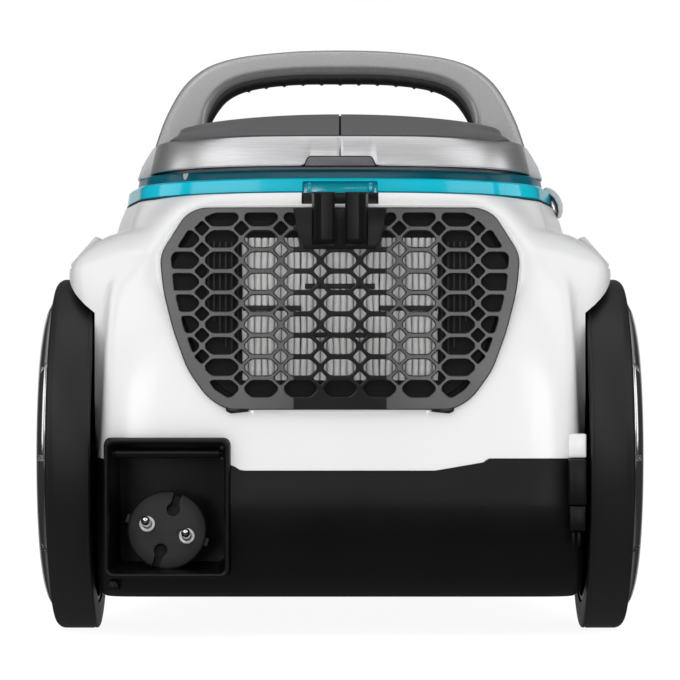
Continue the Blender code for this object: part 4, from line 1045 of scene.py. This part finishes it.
def tyre_profile():
    inner, outer, radius = TYRE_INNER_X, TYRE_OUTER_X, WHEEL_RADIUS
    points = [(0.07, outer - 0.0004), (0.0745, outer - 0.0002), (radius - 0.005, outer - 0.0004)]
    for step in range(9):
        angle = math.radians(80 - 72 * step / 8)
        points.append(
            (radius - 0.0046 + 0.0046 * math.cos(angle), outer - 0.005 + 0.0046 * math.sin(angle))
        )
    points += [
        (radius, outer - 0.0075), (radius, inner + 0.0024), (radius - 0.0003, inner + 0.0019),
        (radius - 0.0003, inner + 0.0016)
    ]
    points += [
        (radius, inner + 0.0011), (radius - 0.0002, inner + 0.0004), (radius - 0.0008, inner),
        (radius - 0.006, inner), (0.07, inner)
    ]
    return points


def build_wheel(side, word):
    centre = Vector((0, WHEEL_Y, WHEEL_RADIUS))
    body = f"wheel_{word}"
    tyre = turned(f"tyre_tread_{word}", tyre_profile(), centre, (side, 0, 0), 160, closed=True)
    finish(tyre, body, "tyre_rubber", f"tyre_{word}", angle=40)
    outer = CAP_OUTER_X
    ring = turned(
        f"cap_ring_{word}",
        [
            (0.056, 0.1376), (0.0575, 0.1386), (0.06, 0.1385), (0.064, 0.1378), (0.068, 0.1366),
            (0.0705, 0.1354), (0.0716, 0.1344), (0.0718, 0.1338), (0.056, 0.1338),
        ],
        centre, (side, 0, 0), 160, closed=True,
    )
    notch_x = 0.1364
    notches = []
    for step in range(10):
        angle = 2 * math.pi * (step + 0.5) / 10
        notch = box(f"notch_{step}", (-0.003, -0.0014, -0.006), (0.003, 0.0014, 0.004))
        turn = Matrix.Translation((0, 0, CAP_RADIUS)) @ Matrix.Rotation(math.radians(-20 * side), 4, "Y")
        place = Matrix.Translation(centre + Vector((side * notch_x, 0, 0)))
        notch.data.transform(place @ Matrix.Rotation(angle, 4, "X") @ turn)
        notches.append(notch)
    boolean(ring, "DIFFERENCE", *notches)
    finish(ring, body, "chrome", f"hub_cap_{word}", angle=40)
    dish = turned(
        f"cap_dish_{word}",
        [
            (0.0125, 0.1342), (0.0125, outer - 0.0026), (0.02, outer - 0.0052), (0.038, outer - 0.0056),
            (0.052, outer - 0.0052), (0.0558, outer - 0.004), (0.0558, 0.1342)
        ],
        centre, (side, 0, 0), 128, closed=True,
    )
    finish(dish, body, "black_satin", angle=40)
    hub = turned(
        f"cap_hub_{word}",
        [
            (0.0122, 0.1345), (0.0124, outer - 0.0012), (0.0116, outer - 0.0003), (0.01, outer),
            (0.006, outer), (0.0002, outer)
        ],
        centre, (side, 0, 0), 96,
    )
    finish(hub, body, "chrome", angle=40)
    hub_edge, ring_edge = 0.0112, 0.0572
    for step in range(5):
        rings = []
        for share in (0.0, 0.25, 0.5, 0.75, 1.0):
            out = hub_edge + (ring_edge - hub_edge) * share
            half = 0.0032 + 0.002 * share
            top = -0.0006 - 0.0018 * share**1.5
            rings.append(
                [
                    (-0.0062, -half, out), (-0.0062, half, out), (top, half * 0.72, out),
                    (top, -half * 0.72, out)
                ]
            )
        spoke = skin(f"cap_spoke_{word}_{step}", rings)
        turn = Matrix.Rotation(2 * math.pi * step / 5, 4, "X")
        if side < 0:
            turn = Matrix.Scale(-1, 4, (1, 0, 0)) @ turn
        spoke.data.transform(Matrix.Translation(centre + Vector((side * outer, 0, 0))) @ turn)
        if side < 0:
            spoke.data.flip_normals()
        finish(bevel(spoke, 0.0008), body, "chrome", angle=40)
    rim = turned(
        f"rim_disc_{word}",
        [
            (0.0697, 0.1335), (0.0697, 0.114), (0.0672, 0.1136), (0.0672, 0.123), (0.03, 0.1236),
            (0.013, 0.1236), (0.013, 0.114), (0.0063, 0.114), (0.0063, 0.1335)
        ],
        centre, (side, 0, 0), 96, closed=True
    )
    finish(rim, body, "black_satin", f"wheel_rim_{word}", angle=40)


# ---------------------------------------------------------------- pedals

def pedal_slab(name, side, low_depth, high_depth, shrink, extend=-0.0006):
    """A slab along the slope on top of a fender, between two depths below it."""
    top, low = Vector((side * 0.113, 0, 0.1842)), Vector((side * 0.1258, 0, 0.1696))
    down = (low - top).normalized()
    outward = Vector((-down.z, 0, down.x)) * (1 if side > 0 else -1)
    if outward.z < 0:
        outward = -outward
    start, end = top + down * shrink, low + down * extend
    corners = [
        start - outward * low_depth, end - outward * low_depth, end - outward * high_depth,
        start - outward * high_depth
    ]
    return prism_y(name, [(c.x, c.z) for c in corners], -0.14 + shrink, -0.052 - shrink)


def build_pedals():
    for side, body, node in ((1, "power_button", "power_pedal"), (-1, "rewind_button", "rewind_pedal")):
        slab = bevel(pedal_slab(f"{node}_pad", side, 0.004, 0.0, 0.0004), 0.0012, 4)
        finish(slab, body, "light_grey", node, angle=60)


# ---------------------------------------------------------------- bin

BIN_LIP = (
    (0.2026, 0.104, -0.1695, 0.116, 4.0, 2.5, -0.01), (0.2095, 0.1025, -0.1682, 0.115, 4.0, 2.5, -0.01)
)
BIN_NECK = (
    (0.2095, 0.0985, -0.164, 0.111, 4.0, 2.5, -0.01), (0.214, 0.0975, -0.1635, 0.11, 4.0, 2.5, -0.01)
)
BIN_TRAY = (
    (0.188, 0.0915, -0.157, 0.106, 3.2, 2.5, -0.06), (0.204, 0.0915, -0.157, 0.106, 3.2, 2.5, -0.06)
)


def frame_between(name, rows, wall, crease, roundness=0.0008):
    """An upright band that follows a plan outline, open inside."""
    low_z, high_z = rows[0][0], rows[-1][0]
    rings = []
    for z, extra in (
        (low_z, roundness), (low_z + roundness, 0.0), (high_z - roundness, 0.0), (high_z, roundness)
    ):
        rings.append(level(rows, z, extra, 300, crease))
    for z in (high_z, low_z):
        rings.append(level(rows, z, wall, 300, crease))
    return skin(name, rings, closed=True)


def build_bin():
    lip = frame_between("bin_lip", BIN_LIP, 0.0064, LIP_CREASE)
    gap = bevel(box("lip_gap", (-0.0172, -0.175, 0.199), (0.0172, -0.1655, 0.208)), 0.0008)
    boolean(lip, "DIFFERENCE", gap)
    # The lip and its ribs take the lighter teal of painted light
    for side, word in SIDES:
        strip = bevel(
            side_box(f"lip_rib_{word}", side, (0.013, -0.1668, 0.203), (0.0148, -0.165, 0.2078)), 0.0004
        )
        finish(strip, "bin", "teal_clear", look="teal_painted_light")
    droop(lip)
    finish(lip, "bin", "teal_clear", "bin_tub", look="teal_painted_light", angle=30)
    # The neck takes the darker teal of painted shade
    neck = droop(frame_between("bin_neck", BIN_NECK, 0.0024, NECK_CREASE, 0.0003))
    finish(neck, "bin", "teal_clear", look="teal_painted_shade", angle=30)
    tray_levels = (
        (0.188, 0.003), (0.1884, 0.001), (0.189, 0.0), (0.2034, 0.0), (0.2034, 0.0024), (0.1904, 0.0024)
    )
    tray = skin("bin_tray", [level(BIN_TRAY, z, inset) for z, inset in tray_levels])
    cup_outer = rod("cup_outer", (0, CUP_Y, 0.084), (0, CUP_Y, 0.2), 0.06, 96)
    cup_inner = rod("cup_inner", (0, CUP_Y, 0.0864), (0, CUP_Y, 0.215), 0.0576, 96)
    boolean(tray, "UNION", bevel(cup_outer, 0.002))
    boolean(tray, "DIFFERENCE", cup_inner)
    finish(tray, "bin", "teal_clear", angle=40)
    posts = (
        (-0.056, -0.1545), (-0.07, -0.15), (0.058, -0.1545), (0.069, -0.15), (-0.03, -0.158),
        (0.032, -0.158)
    )
    for number, (x, y) in enumerate(posts):
        post = turned(
            f"bin_post_{number}", [(0.0006, 0.0), (0.0022, 0.0006), (0.0024, 0.003), (0.0024, 0.006)],
            (x, y, 0.2072), (0, 0, 1), 24
        )
        finish(post, "bin", "light_grey")


# ---------------------------------------------------------------- lid and handle

LID_BAND = (
    (0.215, 0.0905, -0.1708, 0.1, 4.6, 2.5, -0.05), (0.2288, 0.0872, -0.167, 0.098, 4.6, 2.5, -0.05)
)
LID_COVER = (
    (0.227, 0.0805, -0.1668, 0.098, 5.5, 2.5, -0.1),
    (0.2292, 0.0798, -0.1662, 0.098, 5.5, 2.5, -0.1),
    (0.234, 0.077, -0.1565, 0.092, 5.0, 2.5, -0.1),
    (0.2397, 0.0752, -0.144, 0.08, 4.6, 2.5, -0.1),
)
LID_FRAME = (
    (0.2142, 0.0975, -0.164, 0.113, 4.0, 2.5, -0.03),
    (0.22, 0.0955, -0.1625, 0.111, 4.0, 2.5, -0.03),
    (0.2288, 0.09, -0.16, 0.103, 4.0, 2.5, -0.03),
)
# The notch in the band for the latch, as (x, z)
LATCH_OUTLINE = (
    (-0.0178, 0.21), (0.0178, 0.21), (0.0178, 0.2152), (0.0164, 0.2156), (0.0146, 0.2195),
    (-0.0146, 0.2195), (-0.0164, 0.2156), (-0.0178, 0.2152)
)


def front_block(name):
    """What lies in front of the lid's split."""
    return box(name, (-0.12, LID_SPLIT_Y, 0.2), (0.12, 0.15, 0.25))


def build_lid():
    band = frame_between("band_face", LID_BAND, 0.0048, BAND_CREASE, 0.0006)
    front = front_block("band_front")
    notch = prism_y("band_notch", fillet(LATCH_OUTLINE, 0.0014), -0.2, -0.15)
    groove = box("band_groove", (-GROOVE_HALF, -0.2, 0.2), (GROOVE_HALF, -0.1672, 0.25))
    boolean(band, "DIFFERENCE", front, notch, groove)
    droop(band)
    finish(bevel(band, 0.0003, 2, 50), "lid", "silver_band", "lid_band", angle=40)

    rings = []
    for z, extra in (
        (0.227, 0.004), (0.229, 0.0006), (0.2293, 0.0), (0.232, 0.0), (0.235, 0.0), (0.238, 0.0),
        (0.2393, 0.0002), (0.2398, 0.001), (0.2402, 0.004), (0.2404, 0.012), (0.2405, 0.03)
    ):
        row = interpolate(LID_COVER, min(z, 0.2397))
        crown = smoothstep(0.2292, 0.238, z)
        rings.append([(x, y, z - crown * 0.0047 * (x / 0.078) ** 2) for x, y in plan(row, extra, 300)])
    cover = skin("cover_shell", rings)
    scoop = bevel(box("scoop", (-0.055, -0.116, 0.225), (0.055, -0.054, 0.26)), 0.004, 4)
    seam = box("cover_groove", (-GROOVE_HALF, -0.2, 0.225), (GROOVE_HALF, -0.124, 0.245))
    floor = box("cover_floor", (-0.0565, -0.1175, 0.2235), (0.0565, -0.0525, 0.225))
    boolean(cover, "DIFFERENCE", scoop, seam)
    droop(cover)
    finish(cover, "lid", "dark_grey", "lid_cover", angle=35)
    finish(bevel(floor, 0.0004), "lid", "dark_grey")

    outside = ((0.2142, 0.0004), (0.2146, 0.0), (0.22, 0.0), (0.225, 0.0), (0.2284, 0.0), (0.2288, 0.0006))
    inside = ((0.2288, 0.025), (0.2142, 0.025))
    sides = skin(
        "lid_sides", [level(LID_FRAME, z, inset, 300) for z, inset in outside + inside], closed=True
    )
    boolean(sides, "DIFFERENCE", box("sides_rear", (-0.12, -0.25, 0.2), (0.12, LID_SPLIT_Y + SEAM, 0.25)))
    droop(sides)
    finish(bevel(sides, 0.0004, 2, 50), "lid", "light_grey", "lid_frame", angle=35)

    shelf_rows = (
        (0.2133, 0.085, -0.1672, 0.09, 4.6, 2.5, -0.05), (0.2148, 0.085, -0.1672, 0.09, 4.6, 2.5, -0.05)
    )
    shelf = frame_between("lid_shelf", shelf_rows, 0.01, None, 0.0003)
    boolean(shelf, "DIFFERENCE", front_block("shelf_front"))
    finish(droop(shelf), "lid", "dark_grey", angle=40)

    latch = prism_y(
        "latch_face",
        fillet(
            [
                (-0.016, 0.215), (0.016, 0.215), (0.016, 0.2157), (0.0143, 0.2192), (-0.0143, 0.2192),
                (-0.016, 0.2157)
            ],
            0.0012
        ),
        -0.1694, -0.16,
    )
    finish(bevel(latch, 0.0005), "latch", "dark_grey", "lid_latch")


def handle_edges(count=72):
    """Outer and inner points of the arch from the right foot to the left, as (x, z) pairs."""
    outer = [
        (0.088, 0.2262), (0.0864, 0.2312), (0.0838, 0.2385), (0.0802, 0.2462), (0.076, 0.2534),
        (0.071, 0.2593), (0.064, 0.2645), (0.0565, 0.2676), (0.048, 0.2697), (0.039, 0.271), (0.029, 0.272),
        (0.019, 0.2727), (0.009, 0.273), (0.0, 0.2731),
    ]
    inner = [
        (0.0652, 0.2262), (0.0649, 0.2305), (0.0645, 0.235), (0.0638, 0.2398), (0.0626, 0.2442),
        (0.0606, 0.2487), (0.0574, 0.2532), (0.0528, 0.2567), (0.0465, 0.2593), (0.0385, 0.2611),
        (0.029, 0.2623), (0.019, 0.263), (0.009, 0.2632), (0.0, 0.2632),
    ]

    def dense(points):
        full = points + [(-x, z) for x, z in reversed(points[:-1])]
        samples = []
        spans = len(full) - 1
        for k in range(count + 1):
            u = k / count * spans
            i = min(int(u), spans - 1)
            t = u - i
            p0, p1, p2, p3 = (Vector(full[min(max(i + j, 0), spans)]) for j in (-1, 0, 1, 2))
            square = (2 * p0 - 5 * p1 + 4 * p2 - p3) * t**2
            cube = (3 * p1 - p0 - 3 * p2 + p3) * t**3
            samples.append(0.5 * (2 * p1 + (p2 - p0) * t + square + cube))
        return samples

    return dense(outer), dense(inner)


def build_handle():
    outer, inner = handle_edges()
    middle, half = (HANDLE_REAR_Y + HANDLE_FRONT_Y) / 2, (HANDLE_FRONT_Y - HANDLE_REAR_Y) / 2
    rings = []
    for o, i in zip(outer, inner):
        ring = []
        for c, s in directions(40):
            radius = superellipse(c, s, 7)
            u, v = radius * c, radius * s
            point = i + (o - i) * (v + 1) / 2
            ring.append((point.x, middle + half * u, point.y))
        rings.append(ring)
    arch = skin("handle_arch", rings)
    finish(arch, "lid", "grey_metallic", "handle_frame", angle=60)

    seam_rear, seam_front = -0.0962, -0.0954
    rings = []
    for o, i in zip(outer, inner):
        inward = (i - o).normalized()
        near, far = o - inward * 0.00002, o + inward * 0.0007
        loop = ((near, seam_rear), (near, seam_front), (far, seam_front), (far, seam_rear))
        rings.append([(point.x, y, point.y) for point, y in loop])
    finish(skin("handle_seam", rings), "lid", "soft_black", look="seam_black")

    total = len(inner) - 1
    fine = 6
    stations = []
    length = 0.0
    for k in range(total):
        for step in range(fine):
            t = step / fine
            edge = inner[k].lerp(inner[k + 1], t)
            below = (edge - outer[k].lerp(outer[k + 1], t)).normalized()
            if stations:
                length += (edge - stations[-1][0]).length
            stations.append((edge, below, length, abs(2 * (k + t) / total - 1)))

    def underside(name, start, depth, half_width, square, rib):
        shapes = []
        for edge, below, at, share in stations:
            grow = smoothstep(1.0, 0.45, share)
            from_middle = abs(at - length / 2)
            bump = 0.0
            if from_middle < RIBBED_HALF:
                bump = rib * max(0.0, math.cos(2 * math.pi * from_middle / RIB_PITCH)) ** 10
            top = edge + below * (start * grow - 0.0006)
            low = edge + below * (0.0006 + depth * grow + bump)
            shape = []
            for c, s in directions(28):
                radius = superellipse(c, s, square)
                point = top.lerp(low, (1 - radius * s) / 2)
                shape.append((point.x, middle + half_width * radius * c, point.y))
            shapes.append(shape)
        return skin(name, shapes)

    under = underside("handle_underside", -0.009, 0.003, half - 0.0004, 2.3, 0.0)
    finish(under, "lid", "grey_metallic", angle=60)
    grip = underside("handle_grip_ribs", 0.0004, 0.0048, half - 0.0032, 3.0, 0.0007)
    finish(grip, "lid", "soft_black", "handle_grip", angle=50)


def build_lever():
    profile = [
        (0.0984, 0.2056), (0.1008, 0.2058), (0.103, 0.2036), (0.1046, 0.2006), (0.1052, 0.1972),
        (0.1047, 0.195), (0.1053, 0.1945), (0.1064, 0.1944), (0.1071, 0.1972), (0.1071, 0.2008),
        (0.1056, 0.2044), (0.1034, 0.207), (0.1012, 0.2084), (0.0994, 0.2088), (0.0984, 0.2086),
    ]
    lever = prism_y("release_tab", profile, -0.076, -0.048)
    finish(bevel(lever, 0.0004), "lever", "light_grey", "bin_release_lever", angle=50)


# ---------------------------------------------------------------- front: hose socket, caster

def build_socket():
    profile = [
        (0.018, 0.016), (0.0186, 0.017), (0.0284, 0.017), (0.029, 0.0164), (0.029, 0.0078), (0.0284, 0.007),
        (0.0232, 0.007), (0.0225, 0.0062), (0.0225, -0.06), (0.018, -0.06),
    ]
    socket = turned("inlet_collar", profile, SOCKET_POINT, SOCKET_AXIS, 96, closed=True)
    finish(socket, "canister", "black_satin", "hose_socket", angle=35)
    for number in range(3):
        angle = math.radians(90 + 120 * number)
        side = Vector((1, 0, 0))
        up = SOCKET_AXIS.cross(side)
        outward = side * math.cos(angle) + up * math.sin(angle)
        place = SOCKET_POINT + SOCKET_AXIS * 0.0171 + outward * 0.0237
        dot = turned(
            f"inlet_dot_{number}", [(0.0001, 0.0), (0.0012, 0.0), (0.0014, -0.0003), (0.0014, -0.001)],
            place, SOCKET_AXIS, 20
        )
        finish(dot, "canister", "light_grey")


def build_caster():
    fork = turned(
        "caster_plate",
        [
            (0.005, 0.054), (0.005, 0.0402), (0.0274, 0.04), (0.028, 0.0394), (0.028, 0.0351),
            (0.0274, 0.0345), (0.0002, 0.0345)
        ],
        (0, CASTER_Y, 0), (0, 0, 1), 64,
    )
    finish(fork, "caster_swivel", "black_satin", "caster_fork")
    for side, word in SIDES:
        low_x, high_x = sorted((side * 0.0086, side * 0.0114))
        outline = [
            (0.114, 0.035), (0.116, 0.012), (0.1185, 0.009), (0.121, 0.008), (0.124, 0.009),
            (0.1265, 0.012), (0.13, 0.035)
        ]
        cheek = bevel(prism_x(f"caster_cheek_{word}", outline, low_x, high_x), 0.0006)
        finish(cheek, "caster_swivel", "black_satin")
    wheel = turned(
        "caster_tread",
        [
            (0.0024, 0.0079), (0.0112, 0.0079), (0.013, 0.0072), (0.0139, 0.0056), (0.014, 0.0),
            (0.0139, -0.0056), (0.013, -0.0072), (0.0112, -0.0079), (0.0024, -0.0079)
        ],
        CASTER_WHEEL_CENTRE, (1, 0, 0), 64, closed=True,
    )
    finish(wheel, "caster_roller", "tyre_rubber", "caster_wheel", angle=40)


# ---------------------------------------------------------------- scene

build_housing()
build_base()
build_bay()
build_plug()
build_grille()
build_filter()
build_wheel(1, "right")
build_wheel(-1, "left")
build_pedals()
build_bin()
build_lid()
build_handle()
build_lever()
build_socket()
build_caster()

slots = {entry["node"]: entry["material_slot"] for entry in frame["record"]["subparts"]}
for node, item in frame["nodes"].items():
    item.data.materials.clear()
    item.data.materials.append(FINISHES[slots[node]])

camera = bpy.data.cameras.new("camera")
camera.lens = CAMERA_LENS
camera.sensor_width = SENSOR
camera_item = bpy.data.objects.new("camera", camera)
camera_item.location = CAMERA_PLACE
camera_item.rotation_euler = (math.pi / 2, 0, 0)
bpy.context.scene.collection.objects.link(camera_item)
bpy.context.scene.camera = camera_item

scene = bpy.context.scene
scene.view_settings.view_transform = "Standard"

floor_mesh = bpy.data.meshes.new("floor")
floor_mesh.from_pydata([(-9, -9, 0), (9, -9, 0), (9, 9, 0), (-9, 9, 0)], [], [(0, 1, 2, 3)])
floor = link("floor", floor_mesh)
floor_material = bpy.data.materials.new("floor_white")
floor_material.use_nodes = True
floor_shader = floor_material.node_tree.nodes["Principled BSDF"]
floor_shader.inputs["Base Color"].default_value = (0.22, 0.22, 0.22, 1)
floor_shader.inputs["Roughness"].default_value = 0.9
floor_shader.inputs["Specular IOR Level"].default_value = 0.0
floor_shader.inputs["Emission Color"].default_value = (1, 1, 1, 1)
floor_shader.inputs["Emission Strength"].default_value = 0.93
floor.data.materials.append(floor_material)
floor.visible_glossy = False


def world_light():
    """White to the camera. As light, dark behind the camera and brighter round the object."""
    world = bpy.data.worlds.new("studio")
    scene.world = world
    world.use_nodes = True
    tree = world.node_tree
    tree.nodes.clear()
    place = tree.nodes.new("ShaderNodeTexCoord")
    parts = tree.nodes.new("ShaderNodeSeparateXYZ")
    tree.links.new(place.outputs["Generated"], parts.inputs["Vector"])

    def most(a, b):
        node = tree.nodes.new("ShaderNodeMath")
        node.operation = "MAXIMUM"
        tree.links.new(a, node.inputs[0])
        tree.links.new(b, node.inputs[1])
        return node.outputs["Value"]

    above = ramp(tree, parts.outputs["Z"], 0.02, 0.5, 0.25, 0.95)
    below = ramp(tree, parts.outputs["Z"], 0.02, 0.16, -0.25, -0.85)
    beyond = ramp(tree, parts.outputs["Y"], 0.0, 0.85, 0.1, 0.6)
    mirrored = ramp(tree, parts.outputs["Y"], 0.04, 0.9, 0.92, 1.0)
    rays = tree.nodes.new("ShaderNodeLightPath")
    pick = tree.nodes.new("ShaderNodeMix")
    tree.links.new(rays.outputs["Is Glossy Ray"], pick.inputs["Factor"])
    tree.links.new(beyond, pick.inputs["A"])
    tree.links.new(mirrored, pick.inputs["B"])
    lit = tree.nodes.new("ShaderNodeBackground")
    tree.links.new(most(most(above, below), pick.outputs["Result"]), lit.inputs["Strength"])
    seen = tree.nodes.new("ShaderNodeBackground")
    seen.inputs["Color"].default_value = (1, 1, 1, 1)
    seen.inputs["Strength"].default_value = 1.0
    choose = tree.nodes.new("ShaderNodeMixShader")
    tree.links.new(rays.outputs["Is Camera Ray"], choose.inputs["Fac"])
    tree.links.new(lit.outputs["Background"], choose.inputs[1])
    tree.links.new(seen.outputs["Background"], choose.inputs[2])
    output = tree.nodes.new("ShaderNodeOutputWorld")
    tree.links.new(choose.outputs["Shader"], output.inputs["Surface"])


def area_light(name, place, target, width, height, power):
    """A soft box that the camera doesn't see, facing a target."""
    light = bpy.data.lights.new(name, "AREA")
    light.shape = "RECTANGLE"
    light.size = width
    light.size_y = height
    light.energy = power
    item = bpy.data.objects.new(name, light)
    item.location = place
    item.rotation_euler = (Vector(target) - Vector(place)).to_track_quat("-Z", "Y").to_euler()
    item.visible_camera = False
    scene.collection.objects.link(item)


world_light()
for side in (1, -1):
    area_light(f"low_box_{side}", (side * 0.405, -1.95, 0.17), (side * 0.405, 0.0, 0.17), 0.34, 0.3, 1.6)
    area_light(f"side_box_{side}", (side * 1.5, -1.35, 0.32), (0, -0.15, 0.16), 0.5, 0.9, 0.3)
    area_light(f"edge_box_{side}", (side * 1.6, -0.1, 0.6), (0, -0.1, 0.15), 0.9, 0.9, 3.2)
area_light("key_box_left", (-1.0, -1.5, 1.25), (0, -0.1, 0.2), 1.7, 1.5, 11.5)
area_light("key_box_right", (1.25, -1.35, 1.25), (0, -0.1, 0.2), 1.5, 1.5, 9.2)
area_light("middle_box", (-0.05, -1.95, 0.78), (-0.05, 0.0, 0.3), 0.6, 0.22, 1.6)
area_light("top_box", (0.0, -0.3, 1.6), (0, 0, 0.1), 1.4, 1.0, 4.0)
